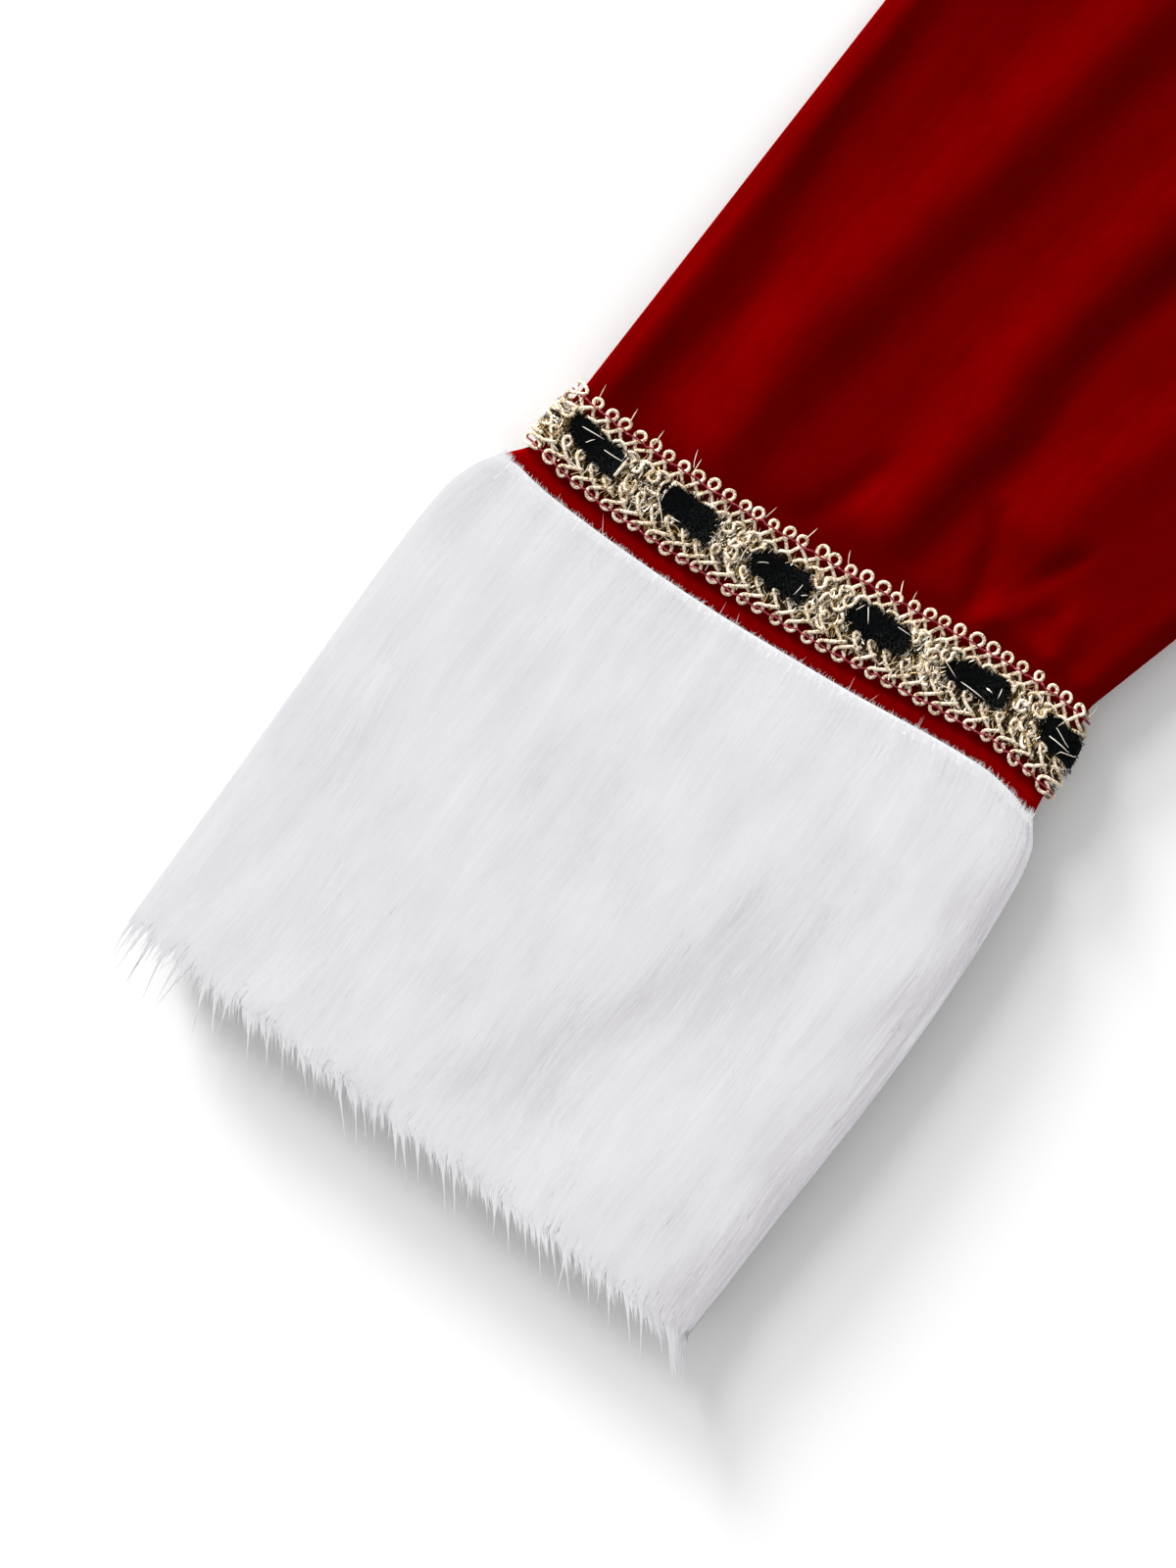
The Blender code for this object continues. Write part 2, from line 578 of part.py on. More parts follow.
def make_ribbon(side, mirrored, finish):
    """The velvet ribbon: a flat loop that rises in each slot of the gold band."""
    height = BRAID_TOP - STRIP
    low = STRIP + height * SLOT_BOTTOM_SHARE + RIBBON_MARGIN
    high = STRIP + height * SLOT_TOP_SHARE - RIBBON_MARGIN
    heights = [low, (low + high) / 2, high]
    half_slot = SLOT_LENGTH / 2 / BRAID_ROUND
    margin, rise = RIBBON_MARGIN / BRAID_ROUND, PUFF_SIDE / BRAID_ROUND
    puffs = {}
    for middle in slot_middles():
        foot = half_slot - margin
        puffs[middle] = 1.0
        for sign in (-1, 1):
            puffs[(middle + sign * foot) % 1.0] = 0.0
            puffs[(middle + sign * (foot - rise)) % 1.0] = PUFF_SHOULDER
    edge = SLEEVE_EDGE_SHARE
    for share in (0.0, edge / 2, edge, 1 - edge, 1 - edge / 2):
        puffs[share] = 0.0
    for share in (0.5 - edge, 0.5 - edge / 2, 0.5, 0.5 + edge / 2, 0.5 + edge):
        puffs[share] = PUFF_OVER_FOLD
    shares = sorted(puffs)
    outer, inner = [], []
    for row, up in enumerate(heights):
        section = sleeve_section(up)
        crown = 1.0 if row == 1 else PUFF_EDGE
        flat = SEAM_GAP + RIBBON_WALL
        outs = [flat + (PUFF_HEIGHT - flat) * puffs[share] * crown for share in shares]
        outer.append([ring_point(section, share, out) for share, out in zip(shares, outs)])
        inner.append([ring_point(section, share, SEAM_GAP) for share in shares])
    grid_solid(f"ribbon_black_{side}", outer, inner, finish, True, mirrored)


def make_gold(side, mirrored, finish):
    """The gimp band in two halves, each with its slots and a raised middle over the ribbon."""
    height = BRAID_TOP - STRIP
    row_shares = [0.0, SLOT_BOTTOM_SHARE - RAISE_SHARE, SLOT_BOTTOM_SHARE]
    row_shares += [SLOT_TOP_SHARE, SLOT_TOP_SHARE + RAISE_SHARE, 1.0]
    slot_row = 2
    over_ribbon = 2 * SEAM_GAP + RIBBON_WALL
    under = [SEAM_GAP, SEAM_GAP, over_ribbon, over_ribbon, SEAM_GAP, SEAM_GAP]
    half_slot = SLOT_LENGTH / 2 / BRAID_ROUND
    half_gap = SEAM_GAP / BRAID_ROUND / 2
    edge = SLEEVE_EDGE_SHARE
    middles = slot_middles()
    split = (middles[FRONT_SLOTS - 1] + middles[FRONT_SLOTS]) / 2
    gap_at_edge = edge * FOLD_GAP_SHARE
    halves = [
        ("front", gap_at_edge, split - half_gap, middles[:FRONT_SLOTS]),
        ("back", split + half_gap, 1 - gap_at_edge, middles[FRONT_SLOTS:]),
    ]
    turns = [edge / 2, edge, 0.5 - edge, 0.5 - edge / 2, 0.5, 0.5 + edge / 2, 0.5 + edge]
    turns += [1 - edge, 1 - edge / 2]
    for half, start, end, slots in halves:
        shares = {start, end}
        shares.update(turn for turn in turns if start < turn < end)
        for middle in slots:
            shares.update((middle - half_slot, middle + half_slot))
            shares.add(middle + 0.5 / SLOT_COUNT)
        shares = sorted(share for share in shares if start <= share <= end)
        absent = set()
        for column in range(len(shares) - 1):
            cell_middle = (shares[column] + shares[column + 1]) / 2
            if any(abs(cell_middle - middle) < half_slot for middle in slots):
                absent.add((slot_row, column))
        outer, inner = [], []
        for row_share, out in zip(row_shares, under):
            section = sleeve_section(STRIP + height * row_share)
            outer.append([ring_point(section, share, out + GOLD_WALL) for share in shares])
            inner.append([ring_point(section, share, out) for share in shares])
        grid_solid(f"braid_gold_{half}_{side}", outer, inner, finish, False, mirrored, absent)


def main():
    for item in list(bpy.data.objects):
        bpy.data.objects.remove(item, do_unlink=True)
    velvet = {"colour": (0.19, 0.0, 0.0), "roughness": 0.85, "sheen": 0.5}
    fur = {"colour": (0.82, 0.82, 0.84), "roughness": 0.9}
    gold = {"colour": (0.62, 0.50, 0.32), "roughness": 0.45, "metallic": 0.4}
    black = {"colour": (0.008, 0.008, 0.009), "roughness": 0.8}
    make_back(material("back_velvet", **velvet))
    make_front(material("front_velvet", **velvet))
    for side, mirrored in (("right", False), ("left", True)):
        make_sleeve(side, mirrored, material(f"sleeve_velvet_{side}", **velvet))
        make_cuff(side, mirrored, material(f"cuff_fur_{side}", **fur))
        make_ribbon(side, mirrored, material(f"ribbon_velvet_{side}", **black))
        make_gold(side, mirrored, material(f"gimp_gold_{side}", **gold))


main()
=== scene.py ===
"""The looks of a Christmas costume dress laid flat: velvet, faux fur cuffs, gimp braid and ribbon.

Lengths are metres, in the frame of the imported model. The photographed sleeve is the one at -X.
"""

import math
from collections import namedtuple

import bpy
import numpy as np
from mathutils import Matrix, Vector


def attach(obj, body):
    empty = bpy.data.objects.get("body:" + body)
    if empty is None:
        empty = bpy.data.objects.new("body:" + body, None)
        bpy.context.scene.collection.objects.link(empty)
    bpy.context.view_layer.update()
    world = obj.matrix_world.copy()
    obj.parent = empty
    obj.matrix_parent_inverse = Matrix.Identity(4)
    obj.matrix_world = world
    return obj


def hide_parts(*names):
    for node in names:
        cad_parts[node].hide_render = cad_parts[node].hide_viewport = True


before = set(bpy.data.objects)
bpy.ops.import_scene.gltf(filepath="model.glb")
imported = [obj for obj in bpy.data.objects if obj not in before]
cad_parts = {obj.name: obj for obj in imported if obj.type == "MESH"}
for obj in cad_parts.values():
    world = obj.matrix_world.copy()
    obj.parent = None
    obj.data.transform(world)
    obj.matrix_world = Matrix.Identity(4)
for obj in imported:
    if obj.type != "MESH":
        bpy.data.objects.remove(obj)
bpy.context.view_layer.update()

MM = 0.001

# The dress body, as the solids have it
SIDE_NECK = np.array((0.100, 0.450))
SHOULDER = np.array((0.205, 0.410))
UNDERARM = np.array((0.235, 0.190))
FRONT_NECK_Y = 0.325
BACK_NECK_Y = 0.415
NECK_POWER = 2.4
ARMHOLE_DEPTH = 0.024
ARMHOLE_CELLS = 6
HEM_SIDE_Y = -0.425
HEM_BOW = 0.025
SIDE_SEAM = np.array(((HEM_SIDE_Y, 0.368), (-0.280, 0.306), (-0.130, 0.251), (0.040, 0.203), (0.190, 0.235)))
FRONT_LOFT = 0.0016
WALL = 0.0012
SEAM_GAP = 0.0003

# The sleeve at -X
SEAM_OUTER = np.array((-0.5348, 0.1181))
SEAM_INNER = np.array((-0.4133, 0.0344))
BRAID_OUTER = np.array((-0.5154, 0.1339))
BRAID_INNER = np.array((-0.3999, 0.0598))
OUTER_EDGE_ANGLE = math.radians(37.8)
OUTER_STRAIGHT = 0.114
BRAID_TOP = 0.027
SLEEVE_TOP = 0.342
STRIP = 0.0054  # of bare velvet, between the cuff's seam and the braid
# How far in the outer edge is drawn, at heights up from the cuff's seam
BRAID_PINCH = np.array(((0, 0), (STRIP, 0.0030), (BRAID_TOP, 0)))
# How far the cuff's seam bows down towards the hem, at places across it
SEAM_BOW = np.array(((0, 0), (0.10, 0.0025), (0.36, 0.0032), (0.63, 0.0009), (0.89, -0.0024), (1, 0)))
SEAM_BOW_FADE = 0.060
ARMHOLE_FADE = 0.110
SLEEVE_HALF = WALL + SEAM_GAP / 2
SLEEVE_RISE = 0.0090
SLEEVE_RISE_LENGTH = 0.200
SLEEVE_EDGE_SHARE = 0.0075
SLEEVE_MEAN_WIDTH = 0.16  # laid flat
SLEEVE_LOFT = 0.0018
SLEEVE_ROLL = 0.0016  # height of the soft roll along each edge
STRIP_ROLL = 0.0009  # and of the one along the bare strip
# How light the velvet is drawn, from its nap and from painted light and shade: 0 is its darkest colour and 1
# its lightest
PANEL_TONE = 0.44
SLEEVE_TONE = 0.455
EDGE_HIGHLIGHT = 0.20  # a painted highlight along its outer edge, added to that of the sleeve
STRIP_LIGHTNESS = 0.80

# The cuff at -X
CUFF_AXIS = np.array((-0.581, -0.814))
CUFF_ACROSS = np.array((0.814, -0.581))
CUFF_LENGTH_OUTER = 0.1356
CUFF_LENGTH_INNER = 0.1393
CUFF_EDGE_SHARE = 0.030
CUFF_EDGE_POWER = 0.45  # under 1, the rolled edges are boxier
CUFF_HEM = 0.137
# How far down the cuff, its top and bottom, and how far its outer and inner edges bulge
TOP, BOTTOM, OUTER_BULGE, INNER_BULGE = 1, 2, 3, 4
CUFF_ROWS = np.array([
    (0.0000, 0.0145, 0.0076, 0.0000, 0.0000),
    (0.0050, 0.0155, 0.0036, -0.0034, 0.0040),
    (0.0140, 0.0160, 0.0006, -0.0062, 0.0062),
    (0.0400, 0.0162, 0.0000, -0.0072, 0.0080),
    (0.0750, 0.0164, 0.0000, -0.0072, 0.0078),
    (0.1050, 0.0162, 0.0000, -0.0072, 0.0060),
    (0.1250, 0.0154, 0.0008, -0.0073, 0.0052),
    (CUFF_HEM, 0.0140, 0.0030, -0.0073, 0.0048),
])
FRINGE_WAY = np.array((0.03, -1.0))  # the fringe hangs this way, but for the cuff's outer end
FRINGE_TURN = 0.97
FRINGE_TOP = 0.0124
FRINGE_LENGTH = 0.0165
CUFF_ROUND = 0.300
BED_THICKNESS = 0.0018
# The least and the most of what is drawn for each hair
HAIR_LENGTH = (0.014, 0.023)
HAIR_WIDTH = (0.00018, 0.00040)
HAIR_DEPTH = (0.00002, 0.00012)
HEM_WAVER = (-0.0030, 0.0026)
FUZZ_LENGTH = (0.0014, 0.0026)
FUZZ_WIDTH = (0.00009, 0.00017)
FRINGE_START = (0.0060, 0.0110)  # before the hem
FRINGE_WIDTH = (0.00015, 0.00029)
LOOSE_REACH = (0.0015, 0.0080)  # past the hem, of the hairs that are in no spike
SPIKES = [  # how many round the hem, their shortest and longest reach, and their share of the hairs
    (90, 0.0100, FRINGE_LENGTH, 0.50),
    (230, 0.0035, 0.0090, 0.22),
]
SPIKE_START = 0.010
FRINGE_MAP_LENGTH = CUFF_HEM + 0.020  # of the fur's map, which takes in the fringe
FRINGE_FIRST = 0.004
FRINGE_LAST = 0.485
CORNER_SHARE = 0.020  # of the ring, over which the hem's corners are rounded
CORNER_DEPTH = 0.0065

# The braid: heights are up it from its lower rings, out of the cloth is away from the velvet
BRAID_HEIGHT = 0.0220
BRAID_ROUND = 0.2840
SLOT_COUNT = 11
SLOT_LENGTH = 0.0156
FIRST_SLOT = 0.0120
RIBBON_LOW = 0.0064
RIBBON_HIGH = 0.0160
PICOT_COUNT = 68
PICOT_CENTRE = 20.2
PICOT_RADIUS = 1.2
CORD_RADIUS = 0.00044
THREAD_RADIUS = 0.00021
WOBBLE = 0.00018  # how unevenly the cords lie
BAND_THICKNESS = 0.0004
# How far off the velvet each sheet runs, and how far it rises where the ribbon shows
RIBBON_PUFF = (0.0009, 0.0019)
WEB_PUFF = (0.0011, 0.0)
WEB_LOW = 0.0042
WEB_HIGH = 0.0162
NAP_LENGTH = (0.0004, 0.0012)
NAP_WIDTH = 0.00017
YARN_LENGTH = (0.0016, 0.0042)
YARN_WIDTH = (0.00015, 0.00027)
YARN_OUT = (0.0011, 0.0025)
# How light the yarn ends are painted, from painted shade to painted glint, and how many take each
YARN_LIGHT_AND_SHADE = (0.04, 0.45, 0.70, 0.97)
YARN_LIGHT_AND_SHADE_SHARES = (0.52, 0.16, 0.12, 0.20)
STRAY_WIDTH = (0.00013, 0.00024)
# How high up the braid each row of sewing thread runs, and how far out
THREAD_ROWS = ((0.0015, 0.0031), (0.0190, 0.0028))
# Where the ribbon shows, slot by slot from the outer edge: the heights in mm of its lower and upper
# edge at the left end, then at the right end
PATCHES = np.array([
    (10.2, 15.6, 7.2, 13.8),
    (10.0, 15.3, 6.8, 14.4),
    (8.2, 13.8, 6.8, 13.6),
    (9.0, 14.9, 7.8, 14.4),
    (9.2, 13.4, 8.0, 15.8),
    (9.0, 15.0, 7.4, 14.6),
])
PATCH_SPREAD = 0.0003
# Metallic yarn ends that lie over the ribbon: slot, then each end's place along it and height in mm
LOOSE_ENDS = np.array([
    (0, -5.4, 13.2, 0.6, 14.4), (0, -2.4, 10.8, -1.2, 13.0), (0, 2.0, 12.2, 7.6, 12.6),
    (0, 7.3, 14.4, 7.2, 10.0), (1, -7.5, 11.0, -1.6, 4.8), (1, -2.1, 8.3, 0.4, 8.6),
    (1, -6.9, 12.8, -6.2, 9.8), (2, 5.7, 11.4, 5.2, 8.2), (2, 6.6, 9.0, 8.0, 10.0),
    (2, -3.8, 11.9, -6.2, 10.4), (3, -4.8, 14.6, -2.6, 11.0), (3, 3.5, 14.0, 7.4, 13.6),
    (3, -6.8, 12.6, -5.6, 14.8), (4, -8.8, 12.2, -4.6, 9.8), (4, -3.4, 9.8, 3.7, 8.7),
    (4, 5.6, 13.0, 5.8, 10.4), (4, 2.2, 11.4, 4.2, 11.0), (5, -3.6, 16.2, -4.8, 13.6),
    (5, -5.0, 13.6, 0.6, 11.4), (5, 0.8, 12.3, -2.4, 8.8), (5, -5.4, 11.0, 0.0, 11.2),
])
EDGE_ENDS = 24  # loose ends that stand out past the braid's upper edge

# Camera: straight down, the photograph's frame at 0.225 mm a pixel
FRAME_CENTRE = (-0.515, 0.0423)
FRAME_HEIGHT = 0.360
CAMERA_LENS = 200.0
SENSOR = 36.0
CAMERA_PLANE = 0.008


def smooth(value):
    value = np.clip(value, 0.0, 1.0)
    return value * value * (3 - 2 * value)


def mix(start, end, share):
    return start + (end - start) * share


def hump(value, centre, width):
    """A smooth hill of height 1 about a value's centre."""
    return np.exp(-(((value - centre) / width) ** 2))


def curve_through(rows, at):
    """The value at each place of a smooth curve through rows of (place, value)."""
    places, values = rows[:, 0], rows[:, 1]
    last = len(rows) - 1
    at = np.clip(at, places[0], places[-1])
    before = np.maximum(np.arange(last + 1) - 1, 0)
    after = np.minimum(np.arange(last + 1) + 1, last)
    slope = (values[after] - values[before]) / (places[after] - places[before])
    cell = np.clip(np.searchsorted(places, at, side="right") - 1, 0, last - 1)
    span = places[cell + 1] - places[cell]
    t = (at - places[cell]) / span
    return (
        (2 * t**3 - 3 * t**2 + 1) * values[cell]
        + (t**3 - 2 * t**2 + t) * span * slope[cell]
        + (3 * t**2 - 2 * t**3) * values[cell + 1]
        + (t**3 - t**2) * span * slope[cell + 1]
    )


def route_through(places, points, at):
    """Points of a smooth curve through given points, at places along it."""
    return np.stack([curve_through(np.stack([places, column], 1), at) for column in points.T], 1)


def unit(vectors):
    return vectors / np.maximum(np.linalg.norm(vectors, axis=-1, keepdims=True), 1e-12)


Fold = namedtuple("Fold", "width height route")
LEE = np.array((0.74, -0.67))  # away from the light, over the cloth
FOLD_STEPS = 12
FOLD_TAPER = 0.26  # of its length, in which a fold dies away at each end


def fold_height(folds, x, y, shift=0.0):
    """The height that folds give at each (x, y): soft ridges or troughs along routes of a few points.

    A shift moves each fold away from the light by that share of its width.
    """
    height = np.zeros_like(x)
    for fold in folds:
        route = fold.route + shift * fold.width * LEE
        share = np.linspace(0, 1, len(route))
        fine = route_through(share, route, np.linspace(0, 1, FOLD_STEPS + 1))
        nearest = np.full(x.shape, 1e9)
        along = np.zeros_like(x)
        for i in range(FOLD_STEPS):
            run = fine[i + 1] - fine[i]
            t = ((x - fine[i, 0]) * run[0] + (y - fine[i, 1]) * run[1]) / (run @ run)
            # the first and the last step reach a little past the route's ends
            t = np.clip(t, -0.5 if i == 0 else 0.0, 1.5 if i == FOLD_STEPS - 1 else 1.0)
            away = np.hypot(x - fine[i, 0] - t * run[0], y - fine[i, 1] - t * run[1])
            closer = away < nearest
            nearest = np.where(closer, away, nearest)
            along = np.where(closer, (i + t) / FOLD_STEPS, along)
        length = np.linalg.norm(np.diff(fine, axis=0), axis=1).sum()
        fade = min(FOLD_TAPER * length, 3 * fold.width)
        taper = smooth((np.minimum(along, 1 - along) * length + 0.003) / fade)
        height += fold.height * hump(nearest, 0, fold.width) * taper
    return height


def noise_field(seed, waves, size):
    """A smooth pseudo-random function of (x, y), between about -1 and 1, with features of a size."""
    random = np.random.default_rng(seed)
    angle = random.uniform(0, 2 * math.pi, waves)
    pace = random.uniform(0.6, 1.6, waves) * 2 * math.pi / size
    phase = random.uniform(0, 2 * math.pi, waves)

    def field(x, y):
        rows = zip(angle, pace, phase)
        return sum(np.sin(p * (x * math.cos(a) + y * math.sin(a)) + f) for a, p, f in rows) / math.sqrt(waves)

    return field


def armhole(rise):
    """Points of the +X armhole, from the underarm (0) to the shoulder (1)."""
    stations = np.linspace(0, 1, ARMHOLE_CELLS + 1)
    x = mix(UNDERARM[0], SHOULDER[0], stations) - ARMHOLE_DEPTH * np.sin(math.pi * stations**0.9)
    return np.interp(rise, stations, x), mix(UNDERARM[1], SHOULDER[1], rise)


def panel_plan(across, up, neck_y):
    """Plan points of a body panel: up is 0 at the hem, 1 at the underarms and 2 at the neck."""
    low = np.minimum(up, 1.0)
    side_y = mix(HEM_SIDE_Y, UNDERARM[1], low)
    x = across * curve_through(SIDE_SEAM, side_y)
    y = side_y - HEM_BOW * (1 - across**2) * (1 - low)
    rise = np.clip(up - 1, 0, 1)
    away = np.abs(across) * SHOULDER[0]
    scoop = mix(neck_y, SIDE_NECK[1], np.clip(away / SIDE_NECK[0], 0, 1) ** NECK_POWER)
    shoulder_share = (away - SIDE_NECK[0]) / (SHOULDER[0] - SIDE_NECK[0])
    top = np.where(away < SIDE_NECK[0], scoop, mix(SIDE_NECK[1], SHOULDER[1], shoulder_share))
    upper = up > 1
    x = np.where(upper, across * armhole(rise)[0], x)
    y = np.where(upper, mix(UNDERARM[1], top, rise), y)
    return x, y


OUTER_BRAID = float(np.linalg.norm(BRAID_OUTER - SEAM_OUTER))
INNER_BRAID = float(np.linalg.norm(BRAID_INNER - SEAM_INNER))
ARM_PIT = np.array((-UNDERARM[0], UNDERARM[1]))
ARC_START = BRAID_OUTER + OUTER_STRAIGHT * np.array((math.sin(OUTER_EDGE_ANGLE), math.cos(OUTER_EDGE_ANGLE)))
ARC_RUN = np.array((-SHOULDER[0], SHOULDER[1])) - ARC_START
ARC_TURN = 2 * (math.atan2(ARC_RUN[0], ARC_RUN[1]) - OUTER_EDGE_ANGLE)
ARC_RADIUS = float(np.linalg.norm(ARC_RUN)) / (2 * math.sin(ARC_TURN / 2))
OUTER_LENGTH = OUTER_BRAID + OUTER_STRAIGHT + ARC_RADIUS * ARC_TURN
INNER_LENGTH = INNER_BRAID + float(np.linalg.norm(ARM_PIT - BRAID_INNER))


def outer_edge(distance):
    """Points of the sleeve's outer edge, at distances up it from the cuff seam."""
    braid = np.clip(distance / OUTER_BRAID, 0, 1)[..., None]
    straight = np.clip(distance - OUTER_BRAID, 0, OUTER_STRAIGHT)
    angle = OUTER_EDGE_ANGLE + np.clip((distance - OUTER_BRAID - OUTER_STRAIGHT) / ARC_RADIUS, 0, ARC_TURN)
    point = mix(SEAM_OUTER, BRAID_OUTER, braid)
    x = straight * math.sin(OUTER_EDGE_ANGLE) + ARC_RADIUS * (math.cos(OUTER_EDGE_ANGLE) - np.cos(angle))
    y = straight * math.cos(OUTER_EDGE_ANGLE) + ARC_RADIUS * (np.sin(angle) - math.sin(OUTER_EDGE_ANGLE))
    return point + np.stack([x, y], -1)


def inner_edge(distance):
    """Points of the sleeve's inner edge, at distances up it from the cuff seam."""
    braid = np.clip(distance / INNER_BRAID, 0, 1)[..., None]
    above = np.clip((distance - INNER_BRAID) / (INNER_LENGTH - INNER_BRAID), 0, 1)[..., None]
    return mix(SEAM_INNER, BRAID_INNER, braid) + (ARM_PIT - BRAID_INNER) * above


def sleeve_edges(up):
    share = np.clip(up / BRAID_TOP, 0, 1)
    above = np.clip((up - BRAID_TOP) / (SLEEVE_TOP - BRAID_TOP), 0, 1)
    outer = outer_edge(OUTER_BRAID * share + (OUTER_LENGTH - OUTER_BRAID) * above)
    inner = inner_edge(INNER_BRAID * share + (INNER_LENGTH - INNER_BRAID) * above)
    pinch = np.interp(up, BRAID_PINCH[:, 0], BRAID_PINCH[:, 1])[..., None]
    return outer + unit(inner - outer) * pinch, inner


def sleeve_line(up, across, gap=0.0):
    """Plan points of the sleeve's middle sheet."""
    outer, inner = sleeve_edges(up)
    point = mix(outer, inner, across[..., None])
    run = inner - outer
    width = np.linalg.norm(run, axis=-1)
    down = np.stack([run[..., 1], -run[..., 0]], -1) / width[..., None]
    bow = curve_through(SEAM_BOW, across) * (1 - smooth(up / SEAM_BOW_FADE)) + gap
    into = smooth((up - (SLEEVE_TOP - ARMHOLE_FADE)) / ARMHOLE_FADE)
    hole_x, hole_y = armhole(1 - across)
    chord = mix(SHOULDER, UNDERARM, across[..., None])
    shift = np.stack([chord[..., 0] - hole_x - SEAM_GAP, hole_y - chord[..., 1]], -1)
    return point + bow[..., None] * down + into[..., None] * shift


def cuff_column(along, column):
    return curve_through(CUFF_ROWS[:, (0, column)], along)


def cuff_line(along, across):
    """Plan points of the cuff's middle sheet; beyond the hem, the way its fringe hangs."""
    start = sleeve_line(np.zeros_like(across), across, SEAM_GAP) - SEAM_OUTER
    share = np.minimum(along / CUFF_HEM, 1.0)
    aside = start @ CUFF_ACROSS
    aside = aside + mix(cuff_column(along, OUTER_BULGE), cuff_column(along, INNER_BULGE), across)
    down = mix(start @ CUFF_AXIS, mix(CUFF_LENGTH_OUTER, CUFF_LENGTH_INNER, across), share)
    point = SEAM_OUTER + CUFF_AXIS * down[..., None] + CUFF_ACROSS * aside[..., None]
    beyond = np.maximum(along - CUFF_HEM, 0.0)
    turn = (FRINGE_TURN * smooth(across / 0.25) * smooth(beyond / 0.003))[..., None]
    hang = unit(mix(CUFF_AXIS, FRINGE_WAY, turn))
    return point + hang * beyond[..., None]


def place_on_ring(share, edge_share):
    """Shares of the way round a flattened ring as places across it and angles of its edge rolls."""
    share = share % 1.0
    below = share > 0.5
    from_outer = np.where(below, 1 - share, share)
    side = np.where(below, -1.0, 1.0)
    quarter = math.pi / 2
    on_outer = from_outer < edge_share
    on_inner = from_outer > 0.5 - edge_share
    across = np.clip((from_outer - edge_share) / (0.5 - 2 * edge_share), 0, 1)
    angle = np.where(on_outer, quarter * from_outer / edge_share, quarter)
    angle = np.where(on_inner, quarter * (0.5 - from_outer) / edge_share, angle)
    return across, side * angle


def from_rim(share):
    """How far round a flattened ring the nearer of its two rims is, as a share of the ring."""
    return np.abs((share + 0.25) % 0.5 - 0.25)


def ring_points(line, along, share, middle, half, out, edge_share, lift=None, edge_power=1.0):
    """Points of a flattened ring's skin, moved out by a distance."""
    across, angle = place_on_ring(share, edge_share)
    width = np.linalg.norm(line(along, np.zeros_like(across)) - line(along, np.ones_like(across)), axis=-1)
    place = mix(half / width, 1 - half / width, across)
    point = line(along, place)
    edge = np.where(across < 0.5, 0.0, 1.0)
    outward = unit(line(along, edge) - point)
    reach = (half + out) * np.cos(angle)
    reach = np.where(np.abs(np.cos(angle)) < 1e-6, 0.0, reach)
    point = point + outward * reach[..., None]
    rise = np.sign(angle) * np.abs(np.sin(angle)) ** edge_power
    z = middle + (half + out) * rise
    if lift is not None:
        z = z + np.where(angle > 0, lift(along, place, width) * rise, 0.0)
    return np.concatenate([point, z[..., None]], -1)


def ring_shares(edge_share, roll_cells, top_cells, under_cells):
    """Shares of the way round a flattened ring, closer together over its edge rolls."""
    roll = edge_share * np.arange(1, roll_cells) / roll_cells
    top = np.linspace(edge_share, 0.5 - edge_share, top_cells + 1)
    under = np.linspace(0.5 + edge_share, 1 - edge_share, under_cells + 1)
    return np.concatenate([[0.0], roll, top, 0.5 - roll[::-1], [0.5], 0.5 + roll, under, 1 - roll[::-1]])


def folds_in_mm(*rows):
    """Folds from rows in mm: width, height, then the points of the route."""
    return [Fold(width / 1000, height / 1000, np.array(route) / 1000) for width, height, *route in rows]


SLEEVE_FOLDS = folds_in_mm(
    (9.5, 1.7, (-496, 107.7), (-489.1, 119.9), (-474.5, 145.8), (-460, 160), (-420.5, 195.3), (-360, 255)),
    (7, -1.3, (-516.4, 120), (-508.3, 128.9), (-497, 141.3), (-478.9, 159.3), (-465.5, 185), (-420, 244)),
    (6.8, -0.9, (-486, 114), (-474.5, 123.3), (-456.5, 140.2), (-437.4, 159.3), (-400.3, 195.3),
     (-364, 232)),
    (8.8, 1.5, (-454.3, 99.7), (-446.4, 109.8), (-434, 123.3), (-420.5, 141.3), (-384.5, 177.3),
     (-330, 222)),
    (3.4, -1, (-468.9, 103.1), (-457.6, 109.8), (-446.4, 117.7)),
    (5.6, -1.4, (-448, 90), (-429.5, 109.8), (-413.8, 123.3), (-402.5, 141.3), (-350, 186)),
    (8.5, 1.4, (-416, 96.3), (-407, 109.8), (-389, 123.3), (-315, 178)),
    (2.6, -1.2, (-429.5, 81.7), (-424, 96.3), (-421.6, 107.6)),
    (2.6, -1, (-420.5, 83.9), (-409.3, 91.8), (-401.4, 96.3)),
    (3.4, 1.5, (-430.6, 78.3), (-414.9, 87.3)),
    (2.6, -1, (-409.3, 80.6), (-403.6, 69.3)),
    (3.4, 1.2, (-410.4, 72.7), (-406, 80)),
    (14, 2.4, (-395, 262), (-330, 313), (-268, 352)),
    (13, 2.4, (-338, 196), (-290, 250), (-238, 318)),
    (9, 1.8, (-300, 168), (-260, 210), (-215, 262)),
    (7, -1.3, (-362, 230), (-310, 280), (-250, 340)),
    (6.5, -1.3, (-320, 178), (-275, 228), (-226, 290)),
)
